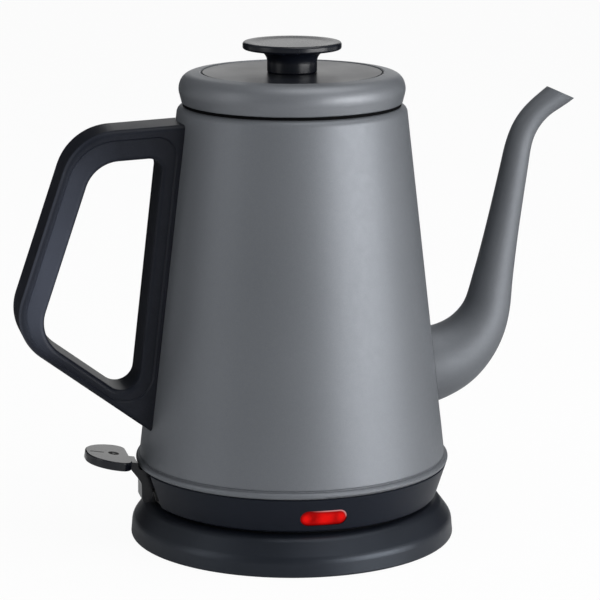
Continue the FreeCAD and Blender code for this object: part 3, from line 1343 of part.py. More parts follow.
keep("base_cover", base_cover())
keep("base_plate", base_plate())
keep("base_screws", *[base_screw(x, y) for x, y in BASE_POSTS])
keep("foot_ring", tube(FOOT_RADIUS, FOOT_RADIUS - FOOT_WIDTH, 0, FOOT_THICKNESS))
keep("cord_gland", cord_gland())
keep("connector_tower", connector_tower())
keep("live_contact", live_contact())
keep("neutral_contact", neutral_contact())
keep("earth_contact", earth_strip(0))
keep("live_pin", live_pin())
keep("neutral_ring", contact_ring(NEUTRAL_RADIUS))
keep("earth_ring", contact_ring(EARTH_RADIUS))
keep("socket_insulator", socket_insulator())
keep("bottom_housing", bottom_housing())
keep("housing_floor", housing_floor())
keep("housing_screws", *[housing_screw(x, y) for x, y in STUDS])
keep("mounting_studs", *[mounting_stud(x, y) for x, y in STUDS])
keep("body_shell", body_shell())
keep("spout", spout())
keep("heater_plate", heater_plate())
keep("heat_spreader", heat_spreader())
keep("heating_element", heating_element())
keep("element_terminals", *element_terminals())
keep("steam_tube", steam_tube())
keep("steam_grommet", steam_grommet())
keep("control_body", control_body())
keep("control_screws", *[control_screw(x, y) for x, y in CONTROL_SCREWS])
keep("bimetal_discs", bimetal_disc(1), bimetal_disc(-1))
keep("steam_bimetal", steam_bimetal())
keep("contact_blade", blade(0))
keep("trip_plunger", trip_plunger())
keep("switch_lever", switch_lever())
keep("switch_frame", switch_frame())
keep("switch_pin", switch_pin())
keep("pilot_lens", pilot_lens())
keep("neon_lamp", neon_lamp())
keep("lamp_holder", lamp_holder())
keep("lamp_leads", lamp_lead(1), lamp_lead(-1))
keep("handle", handle())
keep("handle_brackets", *handle_brackets())
keep("handle_screws", *[handle_screw(x, z) for x, z in handle_screw_places()])
keep("lid_shell", lid_shell())
keep("lid_disc", lid_disc())
keep("lid_knob", lid_knob())
keep("lid_liner", lid_liner())
keep("lid_seal", lid_seal())
keep("knob_screw", knob_screw())

os.makedirs("parts", exist_ok=True)
for name, shape in NODES.items():
    shape.exportStep(f"parts/{name}.step")
    print(name, len(shape.Solids), shape.isValid(), round(shape.Volume, 1))
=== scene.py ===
import math
import bmesh
import bpy
from mathutils import Euler, Matrix, Vector


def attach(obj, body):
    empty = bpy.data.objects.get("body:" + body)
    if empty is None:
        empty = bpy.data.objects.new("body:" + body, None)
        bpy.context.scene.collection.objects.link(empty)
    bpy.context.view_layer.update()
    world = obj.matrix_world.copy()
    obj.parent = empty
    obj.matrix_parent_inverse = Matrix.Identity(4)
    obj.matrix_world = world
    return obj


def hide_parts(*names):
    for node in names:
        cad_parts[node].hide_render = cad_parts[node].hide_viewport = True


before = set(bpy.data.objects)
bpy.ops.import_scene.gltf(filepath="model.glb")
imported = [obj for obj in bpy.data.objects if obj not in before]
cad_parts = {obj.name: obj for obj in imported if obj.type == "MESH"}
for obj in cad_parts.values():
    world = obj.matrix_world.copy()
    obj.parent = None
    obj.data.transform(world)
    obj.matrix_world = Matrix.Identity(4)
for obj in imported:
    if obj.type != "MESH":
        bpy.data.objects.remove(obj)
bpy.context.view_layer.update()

# An electric gooseneck kettle on its power base. Metres, +Z up, the spout to +X, the lamp to -Y.

scene = bpy.context.scene
scene.view_settings.view_transform = "Standard"


# Finishes

def finish(name):
    """A new material, its nodes' tree and its shader."""
    made = bpy.data.materials.new(name)
    made.use_nodes = True
    return made, made.node_tree, made.node_tree.nodes["Principled BSDF"]


def node(tree, kind, **settings):
    """One node of a tree with its settings."""
    made = tree.nodes.new(kind)
    for key, value in settings.items():
        setattr(made, key, value)
    return made


def place(tree, stretch=(1, 1, 1)):
    """The point on the piece, stretched along its axes."""
    where = node(tree, "ShaderNodeTexCoord")
    stretched = node(tree, "ShaderNodeMapping")
    stretched.inputs["Scale"].default_value = stretch
    tree.links.new(where.outputs["Object"], stretched.inputs["Vector"])
    return stretched.outputs["Vector"]


def axes(tree):
    """The point on the piece as its x, y and z."""
    parts = node(tree, "ShaderNodeSeparateXYZ")
    tree.links.new(place(tree), parts.inputs["Vector"])
    return parts.outputs


def grain(tree, where, scale, detail=2.0, rough=0.5):
    """Soft random grain, scale in grains per metre."""
    made = node(tree, "ShaderNodeTexNoise")
    made.inputs["Scale"].default_value = scale
    made.inputs["Detail"].default_value = detail
    made.inputs["Roughness"].default_value = rough
    tree.links.new(where, made.inputs["Vector"])
    return made.outputs["Fac"]


def ranged(tree, value, low, high, start=0.3, end=0.7):
    """A value moved from its own range, start to end, to another, low to high."""
    made = node(tree, "ShaderNodeMapRange")
    made.inputs["From Min"].default_value = start
    made.inputs["From Max"].default_value = end
    made.inputs["To Min"].default_value = low
    made.inputs["To Max"].default_value = high
    tree.links.new(value, made.inputs["Value"])
    return made.outputs["Result"]


def sums(tree, operation, first, second=0):
    """Two values joined by an arithmetic operation, or one value changed by it."""
    made = node(tree, "ShaderNodeMath", operation=operation)
    for socket, value in zip(made.inputs, (first, second)):
        if isinstance(value, (int, float)):
            socket.default_value = value
        else:
            tree.links.new(value, socket)
    return made.outputs["Value"]


def tint(tree, share, low, high):
    """A colour between two colours."""
    made = node(tree, "ShaderNodeMix", data_type="RGBA")
    for socket, value in ((made.inputs[6], low), (made.inputs[7], high)):
        if isinstance(value, tuple):
            socket.default_value = (*value, 1)
        else:
            tree.links.new(value, socket)
    tree.links.new(share, made.inputs[0])
    return made.outputs[2]


def relief(tree, shader, height, depth):
    """Surface relief of a depth in metres."""
    made = node(tree, "ShaderNodeBump")
    made.inputs["Strength"].default_value = 1.0
    made.inputs["Distance"].default_value = depth
    tree.links.new(height, made.inputs["Height"])
    tree.links.new(made.outputs["Normal"], shader.inputs["Normal"])


def spot(tree, where, centre, size):
    """One at a point on the piece, fading to nothing at a distance."""
    made = node(tree, "ShaderNodeVectorMath", operation="DISTANCE")
    made.inputs[1].default_value = centre
    tree.links.new(where, made.inputs[0])
    return ranged(tree, made.outputs["Value"], 1, 0, 0, size)


CLOUD = (28, 4.0, 0.6)  # the plastics' cloudy tone: grains per metre, detail and roughness
FINE = (3.0, 0.65)  # detail and roughness of their fine grain


def moulded(name, tones, gloss, grain_size, depth, shine=0.5, sheen=(1, 1, 1)):
    """Moulded plastic or rubber: spark-eroded grain, cloudy colour, uneven gloss."""
    made, tree, shader = finish(name)
    shader.inputs["Specular Tint"].default_value = (*sheen, 1)
    where = place(tree)
    cloud = grain(tree, where, *CLOUD)
    fine = grain(tree, where, 1 / grain_size, *FINE)
    both = sums(tree, "ADD", cloud, sums(tree, "MULTIPLY", fine, 0.5))
    share = ranged(tree, both, 0, 1, 0.5, 1.0)
    tree.links.new(tint(tree, share, *tones), shader.inputs["Base Color"])
    tree.links.new(ranged(tree, cloud, *gloss), shader.inputs["Roughness"])
    shader.inputs["Specular IOR Level"].default_value = shine
    relief(tree, shader, fine, depth)
    return made


GRIP = (0.0064, 0.0078, 0.0128)
# paler tone of a painted highlight on the grip's sunk band, not a colour of the plastic
PAINTED_LIGHT_TONE = (0.0600, 0.0680, 0.0920)
BAND_BEVEL = (0.0104, 0.0110)  # the band's bevel, out from the handle's middle plane
RIM_BEVEL = (0.0117, 0.0122)  # the rim beside the band
RIM_SHARE = 0.4  # of the band's painted highlight
PAINTED_LIGHT_STRETCH = (2.5, 1, 1)  # the painted highlight's patch is longer upwards than across
PAINTED_LIGHT_MIDDLE = (-0.280, 0, 0.130)  # with that stretch
PAINTED_LIGHT_REACH = 0.100
PAINTED_LIGHT_ABOVE = (0.084, 0.102)  # heights between which the painted highlight sets in, above the lower bar
GRIP_GRAIN = 2200  # per metre
GRIP_DEPTH = 0.000014


def handle_plastic():
    """The handle's plastic, with a painted highlight that makes its sunk band paler over the grip."""
    made, tree, shader = finish("grip_black")
    where = place(tree)
    _, y, z = axes(tree)
    out = sums(tree, "ABSOLUTE", y)
    band = ranged(tree, out, 0, 1, *BAND_BEVEL)
    rim = ranged(tree, out, 1, RIM_SHARE, *RIM_BEVEL)
    cloud = grain(tree, where, *CLOUD)
    fine = grain(tree, where, GRIP_GRAIN, *FINE)
    # painted highlight: a paler patch on the grip's sunk band, weaker on the rim and fading out above the
    # lower bar
    painted_light = spot(tree, place(tree, PAINTED_LIGHT_STRETCH), PAINTED_LIGHT_MIDDLE, PAINTED_LIGHT_REACH)
    painted_light = sums(tree, "MULTIPLY", painted_light, ranged(tree, z, 0, 1, *PAINTED_LIGHT_ABOVE))
    painted_light = sums(tree, "MULTIPLY", painted_light, sums(tree, "MULTIPLY", band, rim))
    specks = sums(tree, "MULTIPLY", sums(tree, "SUBTRACT", fine, 0.5), 0.3)
    share = sums(tree, "ADD", painted_light, sums(tree, "ADD", specks, ranged(tree, cloud, -0.08, 0.08)))
    tree.links.new(tint(tree, share, GRIP, PAINTED_LIGHT_TONE), shader.inputs["Base Color"])
    tree.links.new(ranged(tree, cloud, 0.40, 0.46), shader.inputs["Roughness"])
    shader.inputs["Specular IOR Level"].default_value = 0.15
    relief(tree, shader, fine, GRIP_DEPTH)
    return made


def brushed(name, tones, gloss, stretch, depth):
    """Bare metal with fine lines along one way, and faint stains."""
    made, tree, shader = finish(name)
    lines = grain(tree, place(tree, stretch), 900, 3.0, 0.7)
    stain = grain(tree, place(tree), 45, 4.0, 0.6)
    both = sums(tree, "ADD", lines, stain)
    tree.links.new(tint(tree, ranged(tree, both, 0, 1, 0.7, 1.3), *tones), shader.inputs["Base Color"])
    tree.links.new(ranged(tree, both, *gloss, 0.7, 1.3), shader.inputs["Roughness"])
    shader.inputs["Metallic"].default_value = 1.0
    relief(tree, shader, lines, depth)
    return made


COAT_DARK = (0.138, 0.147, 0.161)
COAT_LIGHT = (0.166, 0.176, 0.192)
COAT_METAL = 0.55
COAT_SHINE = 0.35
COAT_DEPTH = 0.000012
LACQUER_ROUGH = 0.38
STEEL_TONES = ((0.42, 0.42, 0.41), (0.62, 0.62, 0.60))


def coat_values(tree, dull, tone=1.0):
    """Colour, roughness and relief of the satin grey coat with its fine metal flakes."""
    where = place(tree)
    cloud = grain(tree, where, 11, 3.0, 0.5)
    peel = grain(tree, where, 420, 2.0, 0.5)
    flake = grain(tree, where, 1900, 2.0, 0.6)
    share = sums(tree, "ADD", ranged(tree, cloud, 0, 0.45), ranged(tree, flake, 0, 0.55, 0.35, 0.75))
    dark, light = (tuple(value * tone for value in colour) for colour in (COAT_DARK, COAT_LIGHT))
    colour = tint(tree, share, dark, light)
    rough = sums(tree, "ADD", ranged(tree, peel, dull, dull + 0.05), ranged(tree, flake, -0.03, 0.03))
    height = sums(tree, "ADD", sums(tree, "MULTIPLY", peel, 0.6), sums(tree, "MULTIPLY", flake, 0.4))
    return colour, rough, height


def grey_coat(name, dull, tone, lacquer):
    """Satin metallic grey coat, under a share of clear lacquer; a tone below 1 darkens it as a painted
    shade.
    """
    made, tree, shader = finish(name)
    colour, rough, height = coat_values(tree, dull, tone)
    tree.links.new(colour, shader.inputs["Base Color"])
    tree.links.new(rough, shader.inputs["Roughness"])
    shader.inputs["Metallic"].default_value = COAT_METAL
    shader.inputs["Specular IOR Level"].default_value = COAT_SHINE
    shader.inputs["Coat Weight"].default_value = lacquer
    shader.inputs["Coat Roughness"].default_value = LACQUER_ROUGH
    relief(tree, shader, height, COAT_DEPTH)
    return made


BODY_DULL = 0.49
SHEET_RADII = (0.06775, 0.05020)  # middle of the body's sheet, at its foot and below its shoulder
SHEET_HEIGHTS = (0.0378, 0.1890)
SHOULDER_IN = 0.0029  # how far the shoulder turns inwards
SHOULDER_HEIGHTS = (0.1880, 0.1890)


def coated_steel():
    """The body's sheet: grey coat outside, bare brushed steel inside."""
    made, tree, shader = finish("coated_steel")
    colour, rough, height = coat_values(tree, BODY_DULL)
    x, y, z = axes(tree)
    squares = sums(tree, "ADD", sums(tree, "MULTIPLY", x, x), sums(tree, "MULTIPLY", y, y))
    radius = sums(tree, "SQRT", squares)
    cone = ranged(tree, z, *SHEET_RADII, *SHEET_HEIGHTS)
    shoulder = ranged(tree, z, 0, SHOULDER_IN, *SHOULDER_HEIGHTS)
    inside = sums(tree, "LESS_THAN", radius, sums(tree, "SUBTRACT", cone, shoulder))
    lines = grain(tree, place(tree, (1, 1, 14)), 500, 3.0, 0.7)
    steel = tint(tree, ranged(tree, lines, 0, 1), *STEEL_TONES)
    tree.links.new(tint(tree, inside, colour, steel), shader.inputs["Base Color"])
    coat = sums(tree, "MULTIPLY", rough, sums(tree, "SUBTRACT", 1.0, inside))
    bare = sums(tree, "MULTIPLY", ranged(tree, lines, 0.26, 0.36), inside)
    tree.links.new(sums(tree, "ADD", coat, bare), shader.inputs["Roughness"])
    tree.links.new(ranged(tree, inside, COAT_METAL, 1.0, 0, 1), shader.inputs["Metallic"])
    shader.inputs["Specular IOR Level"].default_value = COAT_SHINE
    relief(tree, shader, height, COAT_DEPTH)
    return made


LENS_WIDTH = 0.0203
LENS_HEIGHT = 0.0071
LENS_Z = 0.0249
LENS_HALF = (LENS_WIDTH - LENS_HEIGHT) / 2  # from its middle to the middle of a rounded end
LENS_LIGHTS = (  # the lamp's bright patches and their sizes
    ((0.0010, -0.0664, 0.0244), 0.0050),
    ((0.0080, -0.0660, 0.0252), 0.0034),
    ((-0.0080, -0.0660, 0.0246), 0.0030),
)
LENS_TONES = ((0.05, 0.0005, 0.0005), (0.09, 0.001, 0.001))
GLOW_TONES = ((0.28, 0.0, 0.0), (0.64, 0.003, 0.002))
UNLIT = (0.0, 0.0, 0.0)
PAINTED_RIM_HIGHLIGHT = (0.52, 0.22, 0.22)  # painted highlight along the upper rim


def red_lens():
    """Clear red plastic, lit from behind by the lamp in a few bright patches, its rim darker, with a
    painted highlight glowing along its upper rim.
    """
    made, tree, shader = finish("red_lens")
    where = place(tree)
    patch = grain(tree, where, 330, 1.5, 0.5)
    fine = grain(tree, where, 1100, 2.0, 0.5)
    lit = 0.0
    for centre, size in LENS_LIGHTS:
        lit = sums(tree, "MAXIMUM", lit, spot(tree, where, centre, size))
    x, _, z = axes(tree)
    along = sums(tree, "MAXIMUM", sums(tree, "SUBTRACT", sums(tree, "ABSOLUTE", x), LENS_HALF), 0)
    up = sums(tree, "SUBTRACT", z, LENS_Z)
    squares = sums(tree, "ADD", sums(tree, "POWER", along, 2), sums(tree, "MULTIPLY", up, up))
    out = sums(tree, "SQRT", squares)
    inner = ranged(tree, out, 1, 0.42, LENS_HEIGHT * 0.26, LENS_HEIGHT * 0.48)
    edge = ranged(tree, out, 0, 1, LENS_HEIGHT * 0.39, LENS_HEIGHT * 0.44)
    above = ranged(tree, sums(tree, "ADD", up, sums(tree, "MULTIPLY", x, 0.25)), 0, 1, 0.0018, 0.0034)
    speck = sums(tree, "ADD", sums(tree, "MULTIPLY", patch, 0.6), sums(tree, "MULTIPLY", fine, 0.25))
    share = ranged(tree, sums(tree, "ADD", lit, speck), 0, 1, 0.30, 1.2)
    tree.links.new(tint(tree, share, *LENS_TONES), shader.inputs["Base Color"])
    tree.links.new(ranged(tree, fine, 0.14, 0.22), shader.inputs["Roughness"])
    shader.inputs["Specular IOR Level"].default_value = 0.05
    glow = tint(tree, inner, UNLIT, tint(tree, share, *GLOW_TONES))
    # painted highlight: a pinkish glow on the upper and right rim, standing in for light caught on the
    # bevel
    glow = tint(tree, sums(tree, "MULTIPLY", edge, above), glow, PAINTED_RIM_HIGHLIGHT)
    tree.links.new(glow, shader.inputs["Emission Color"])
    shader.inputs["Emission Strength"].default_value = 1.0
    relief(tree, shader, patch, 0.00004)
    return made


GLASS_TONES = ((0.95, 0.55, 0.35), (1.0, 0.75, 0.6))


def lamp_glass():
    """Thin glass of the glow lamp."""
    made, tree, shader = finish("lamp_glass")
    film = grain(tree, place(tree), 300, 2.0, 0.5)
    tree.links.new(tint(tree, ranged(tree, film, 0, 1), *GLASS_TONES), shader.inputs["Base Color"])
    tree.links.new(ranged(tree, film, 0.05, 0.15), shader.inputs["Roughness"])
    shader.inputs["Transmission Weight"].default_value = 0.8
    relief(tree, shader, film, 0.00001)
    return made


# Each plastic's and metal's deeper and paler tone
BLACK = ((0.0034, 0.0043, 0.0072), (0.0052, 0.0064, 0.0104))
KNOB = ((0.0034, 0.0044, 0.0078), (0.0052, 0.0066, 0.0110))
DISC = ((0.0050, 0.0060, 0.0095), (0.0080, 0.0094, 0.0140))
HOUSING = ((0.0050, 0.0063, 0.0106), (0.0070, 0.0086, 0.0140))
MARK = ((0.003, 0.003, 0.003), (0.005, 0.005, 0.005))
INNER = ((0.008, 0.008, 0.009), (0.014, 0.014, 0.015))
RUBBER = ((0.012, 0.012, 0.012), (0.022, 0.022, 0.022))
SEAL = ((0.002, 0.002, 0.0022), (0.004, 0.004, 0.0045))
PALE = ((0.55, 0.53, 0.46), (0.66, 0.63, 0.56))
BRASS = ((0.55, 0.36, 0.12), (0.75, 0.53, 0.22))
ALUMINIUM = ((0.55, 0.55, 0.56), (0.72, 0.72, 0.73))
COOL = (0.78, 0.87, 1.0)  # tint of the plastic's shine

lid_coat = grey_coat("lid_coat", 0.49, 1.0, 0.40)
# the spout's coat is the body's grey at 0.88 of its colour, a painted shade, and is rougher and without
# lacquer
spout_coat = grey_coat("spout_coat", 0.56, 0.88, 0.0)
body_coat = coated_steel()
grip_black = handle_plastic()
paddle_black = moulded("paddle_black", BLACK, (0.16, 0.22), 0.0004, 0.000004, 0.36)
knob_black = moulded("knob_black", KNOB, (0.24, 0.31), 0.0003, 0.000006, 0.30)
disc_black = moulded("disc_black", DISC, (0.29, 0.37), 0.0003, 0.000006, 0.43)
base_black = moulded("base_black", BLACK, (0.36, 0.43), 0.0004, 0.000010, 0.46, COOL)
housing_black = moulded("housing_black", HOUSING, (0.36, 0.44), 0.0004, 0.000010, 0.18, COOL)
mark_black = moulded("mark_black", MARK, (0.6, 0.7), 0.0003, 0.00002, 0.2)
inner_black = moulded("inner_black", INNER, (0.5, 0.6), 0.0005, 0.00003, 0.4)
rubber = moulded("rubber", RUBBER, (0.65, 0.8), 0.0006, 0.00004, 0.3)
seal_black = moulded("seal_black", SEAL, (0.6, 0.7), 0.0008, 0.00002, 0.02)
pale_plastic = moulded("pale_plastic", PALE, (0.45, 0.55), 0.0005, 0.00003)
steel = brushed("brushed_steel", STEEL_TONES, (0.24, 0.36), (1, 1, 12), 0.000004)
plate_steel = brushed("plate_steel", STEEL_TONES, (0.22, 0.34), (12, 1, 1), 0.000004)
brass = brushed("brass", BRASS, (0.2, 0.34), (1, 1, 10), 0.000004)
aluminium = brushed("aluminium", ALUMINIUM, (0.34, 0.48), (6, 1, 1), 0.000008)
lens_red = red_lens()
glass = lamp_glass()

FINISHES = {
    body_coat: ("body_shell",),
    lid_coat: ("lid_shell",),
    spout_coat: ("spout",),
    grip_black: ("handle",),
    paddle_black: ("switch_lever",),
    knob_black: ("lid_knob",),
    disc_black: ("lid_disc",),
    base_black: ("base_cover",),
    housing_black: ("bottom_housing",),
    inner_black: (
        "base_plate", "housing_floor", "cord_gland", "connector_tower", "control_body", "switch_frame",
        "trip_plunger", "lamp_holder",
    ),
    rubber: ("foot_ring", "steam_grommet"),
    seal_black: ("lid_seal",),
    pale_plastic: ("socket_insulator",),
    steel: (
        "base_screws", "housing_screws", "mounting_studs", "control_screws", "handle_screws", "knob_screw",
        "handle_brackets", "switch_pin", "steam_tube", "steam_bimetal", "bimetal_discs", "heating_element",
        "lid_liner",
    ),
    plate_steel: ("heater_plate",),
    brass: (
        "live_contact", "neutral_contact", "earth_contact", "live_pin", "neutral_ring", "earth_ring",
        "contact_blade", "element_terminals", "lamp_leads",
    ),
    aluminium: ("heat_spreader",),
    lens_red: ("pilot_lens",),
    glass: ("neon_lamp",),
}
for made, names in FINISHES.items():
    for name in names:
        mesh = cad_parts[name].data
        mesh.materials.clear()
        mesh.materials.append(made)


# Pieces

def set_down(name, shape, made):
    """A shape with its finish, as an object of the scene."""
    mesh = bpy.data.meshes.new(name)
    shape.to_mesh(mesh)
    shape.free()
    mesh.materials.append(made)
    thing = bpy.data.objects.new(name, mesh)
    scene.collection.objects.link(thing)
    return thing


def piece(name, shape, made, body, stands_for=None):
    """A finished mesh that rides on a body, in the place of a plain one where that is named."""
    thing = set_down(name, shape, made)
    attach(thing, body)
    if stands_for:
        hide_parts(stands_for)


def turn(shape, angle, axis, verts):
    """Turns vertices about an axis through the origin."""
    bmesh.ops.rotate(shape, cent=(0, 0, 0), matrix=Matrix.Rotation(angle, 3, axis), verts=verts)


def only(kind, parts):
    """The vertices, edges or faces among the parts that an operator made."""
    return [part for part in parts if isinstance(part, kind)]


def faces_of(verts):
    """The faces that vertices belong to, each once."""
    return list({face for v in verts for face in v.link_faces})


def edges_of(verts):
    """The edges that vertices belong to, each once."""
    return list({edge for v in verts for edge in v.link_edges})


def smooth(shape, degrees=35):
    """Rounded faces shade smooth, and edges sharper than an angle stay crisp."""
    bmesh.ops.recalc_face_normals(shape, faces=shape.faces)
    for face in shape.faces:
        face.smooth = True
    for edge in shape.edges:
        edge.smooth = edge.calc_face_angle(0) < math.radians(degrees)


LENS_STEPS = 48  # round its two ends
LENS_CUTS = 15  # along each straight side
LENS_EDGE = 0.0011  # its rim lies this deep in the housing's wall
LENS_BACK = 0.0026
LENS_ROUNDS = (  # each step of the rounded rim, inwards and up
    (0.00004, 0.00042), (0.00016, 0.00022), (0.00030, 0.00014),
    (0.00045, 0.00008), (0.0006, 0.00004), (0.0008, 0.0),
)
LENS_CRISP = 50  # degrees
HOUSING_LOW = (0.064366, 0.0182)  # radius and height of the housing's lower edge
HOUSING_TOP = (0.069416, 0.0338)


def housing_radius(z):
    """Radius of the housing's slanting wall at a height."""
    slope = (HOUSING_TOP[0] - HOUSING_LOW[0]) / (HOUSING_TOP[1] - HOUSING_LOW[1])
    return HOUSING_LOW[0] + (z - HOUSING_LOW[1]) * slope


def lamp_lens():
    """Pill-shaped lens with a rounded rim, bent to the housing's wall."""
    shape = bmesh.new()
    bmesh.ops.create_circle(shape, cap_ends=True, segments=LENS_STEPS, radius=LENS_HEIGHT / 2)
    turn(shape, math.pi / LENS_STEPS, "Z", shape.verts)
    for side in (1, -1):
        end = [v for v in shape.verts if v.co.x * side > 0]
        bmesh.ops.translate(shape, vec=(side * LENS_HALF, 0, 0), verts=end)
    long_edges = [e for e in shape.edges if e.calc_length() > LENS_HALF]
    bmesh.ops.subdivide_edges(shape, edges=long_edges, cuts=LENS_CUTS)
    back = shape.faces[:]
    grown = bmesh.ops.extrude_face_region(shape, geom=back, use_keep_orig=True)["geom"]
    front = only(bmesh.types.BMFace, grown)
    bmesh.ops.translate(shape, vec=(0, 0, -LENS_BACK), verts=list({v for f in back for v in f.verts}))
    bmesh.ops.recalc_face_normals(shape, faces=shape.faces)
    for inset, rise in LENS_ROUNDS:
        bmesh.ops.inset_region(shape, faces=front, thickness=inset, depth=rise, use_even_offset=True)
    turn(shape, math.pi / 2, "X", shape.verts)
    bmesh.ops.translate(shape, vec=(0, LENS_EDGE, LENS_Z), verts=shape.verts)
    for v in shape.verts:
        v.co.y -= math.sqrt(housing_radius(v.co.z) ** 2 - v.co.x ** 2)
    smooth(shape, LENS_CRISP)
    return shape


PADDLE_MIDDLE = (-0.083416, 0, 0.0405)
PADDLE_TILT = math.radians(9)
RING_MARK = (0.0029, 0.0004, 0.0024, 0.0017)  # along and across from the paddle's middle, radius and line
RING_STEPS = 40
LINE_MARK = (-0.0046, 0.0004, 0.0062, 0.0005)  # along and across, length and width
LINE_ROUND = 0.45  # of its width
LINE_STEPS = 4
MARK_PROUD = 0.00006
MARK_THICK = 0.0003


def let_in(shape, verts, along, across):
    """Moves a mark to its place in the paddle's top face."""
    bmesh.ops.translate(shape, vec=(along, across, MARK_PROUD - MARK_THICK), verts=verts)
    turn(shape, PADDLE_TILT, "Y", verts)
    bmesh.ops.translate(shape, vec=PADDLE_MIDDLE, verts=verts)


def line_mark(shape, along, across, length, width):
    """A flat bar with rounded ends."""
    low = bmesh.ops.create_grid(shape, x_segments=1, y_segments=1, size=0.5)["verts"]
    bmesh.ops.scale(shape, vec=(length, width, 1), verts=low)
    grown = bmesh.ops.extrude_face_region(shape, geom=faces_of(low), use_keep_orig=True)["geom"]
    top = only(bmesh.types.BMVert, grown)
    bmesh.ops.translate(shape, vec=(0, 0, MARK_THICK), verts=top)
    verts = low + top
    upright = MARK_THICK / 3
    corners = [e for e in shape.edges if abs(e.verts[0].co.z - e.verts[1].co.z) > upright]
    ends = bmesh.ops.bevel(
        shape, geom=corners, offset=width * LINE_ROUND, offset_type="OFFSET", affect="EDGES",
        segments=LINE_STEPS, profile=0.5, material=-1,
    )
    verts = {v for v in verts if v.is_valid} | set(ends["verts"])
    let_in(shape, list(verts), along, across)


def ring_mark(shape, along, across, radius, line):
    """A flat ring."""
    before = set(shape.verts)
    section = bmesh.ops.create_grid(shape, x_segments=1, y_segments=1, size=0.5)["verts"]
    bmesh.ops.scale(shape, vec=(line, MARK_THICK, 1), verts=section)
    turn(shape, math.pi / 2, "X", section)
    bmesh.ops.translate(shape, vec=(radius - line / 2, 0, MARK_THICK / 2), verts=section)
    edges = edges_of(section)
    bmesh.ops.delete(shape, geom=faces_of(section), context="FACES_ONLY")
    bmesh.ops.spin(
        shape, geom=section + edges, cent=(0, 0, 0), axis=(0, 0, 1), angle=2 * math.pi, steps=RING_STEPS,
        use_merge=True,
    )
    let_in(shape, [v for v in shape.verts if v not in before], along, across)


def paddle_marks():
    """A line for on and a ring for off."""
    shape = bmesh.new()
    line_mark(shape, *LINE_MARK)
    ring_mark(shape, *RING_MARK)
    smooth(shape)
    return shape


FIELD = 0.55  # half the square field that the cross is cut in, against the head's radius
FIELD_CELLS = 5  # cells each way, of which the cross takes the middle three
CROSS_DEPTH = 0.55  # against the head's height
CROSS_TAPER = 0.72
CROWN = (0.86, 0.08)  # radius and drop of the head's flat crown, against the head's own
HEAD_EDGE = 0.35  # drop of the head's rounded edge
SCREW_STEPS = 20
POINT = (0.7, 0.96)  # radius of the shank's end, and where its chamfer starts


def cross_screw(shape, shank, head, height, length, where):
    """Pan-head screw with a cross recess, its head below and its shank upwards from a place."""
    field = bmesh.ops.create_grid(
        shape, x_segments=FIELD_CELLS, y_segments=FIELD_CELLS, size=head * FIELD,
    )["verts"]
    outer = [e for e in edges_of(field) if e.is_boundary]
    cell = head * FIELD * 2 / FIELD_CELLS
    cross = []
    for face in faces_of(field):
        x, y = (abs(value) for value in face.calc_center_median().xy)
        if min(x, y) < cell / 2 and max(x, y) < cell * 1.5:
            cross.append(face)
    sunk = only(bmesh.types.BMVert, bmesh.ops.extrude_face_region(shape, geom=cross)["geom"])
    bmesh.ops.delete(shape, geom=[f for f in cross if f.is_valid], context="FACES")
    bmesh.ops.translate(shape, vec=(0, 0, -height * CROSS_DEPTH), verts=sunk)
    bmesh.ops.scale(shape, vec=(CROSS_TAPER, CROSS_TAPER, 1), verts=sunk)
    ring = bmesh.ops.create_circle(
        shape, cap_ends=False, segments=SCREW_STEPS, radius=head * CROWN[0],
    )["verts"]
    turn(shape, math.pi / 4, "Z", ring)
    bmesh.ops.translate(shape, vec=(0, 0, -height * CROWN[1]), verts=ring)
    edges = edges_of(ring)
    bmesh.ops.bridge_loops(shape, edges=outer + edges)
    verts = set(field) | set(sunk) | set(ring)
    steps = (
        (head, -height * HEAD_EDGE), (head, -height), (shank, -height),
        (shank, -height - length * POINT[1]), (shank * POINT[0], -height - length),
    )
    for radius, level in steps:
        grown = bmesh.ops.extrude_edge_only(shape, edges=edges)["geom"]
        ring = only(bmesh.types.BMVert, grown)
        edges = [e for e in only(bmesh.types.BMEdge, grown) if e.verts[0] in ring and e.verts[1] in ring]
        now = math.hypot(*ring[0].co.xy)
        bmesh.ops.scale(shape, vec=(radius / now, radius / now, 1), verts=ring)
        for v in ring:
            v.co.z = level
        verts |= set(ring)
    bmesh.ops.holes_fill(shape, edges=edges, sides=0)
    verts = [v for v in verts if v.is_valid]
    bmesh.ops.translate(shape, vec=(0, 0, height), verts=verts)
    turn(shape, math.pi, "X", verts)
    bmesh.ops.translate(shape, vec=where, verts=verts)


def screws(sizes, places):
    """One mesh of equal screws."""
    shape = bmesh.new()
    for where in places:
        cross_screw(shape, *sizes, where)
    smooth(shape)
    return shape


# Radius of the shank, radius and height of the head, length; then where each head seats
BASE_SCREWS = (0.0014, 0.0030, 0.0012, 0.0100)
BASE_SEATS = ((0.038769, 0.022383, 0.0017), (-0.038769, 0.022383, 0.0017), (0, -0.044766, 0.0017))
FLOOR_SCREWS = (0.00125, 0.0030, 0.0014, 0.0120)
FLOOR_SEATS = ((0.049772, 0.018115, 0.0194), (-0.026483, 0.04587, 0.0194), (-0.026483, -0.04587, 0.0194))
HANDLE_SCREWS = (0.0017, 0.0030, 0.0020, 0.0056)
HANDLE_SEATS = ((-0.064895, 0, 0.1770), (-0.074043, 0, 0.0620))
KNOB_SCREW = (0.0020, 0.0040, 0.0016, 0.0218)
KNOB_SEAT = ((0, 0, 0.1939),)

piece("lamp_lens", lamp_lens(), lens_red, "kettle", "pilot_lens")
piece("paddle_marks", paddle_marks(), mark_black, "switch_lever")
piece("base_cross_screws", screws(BASE_SCREWS, BASE_SEATS), steel, "power_base", "base_screws")
piece("floor_cross_screws", screws(FLOOR_SCREWS, FLOOR_SEATS), steel, "kettle", "housing_screws")
piece("handle_cross_screws", screws(HANDLE_SCREWS, HANDLE_SEATS), steel, "kettle", "handle_screws")
piece("knob_cross_screw", screws(KNOB_SCREW, KNOB_SEAT), steel, "lid", "knob_screw")


# Studio

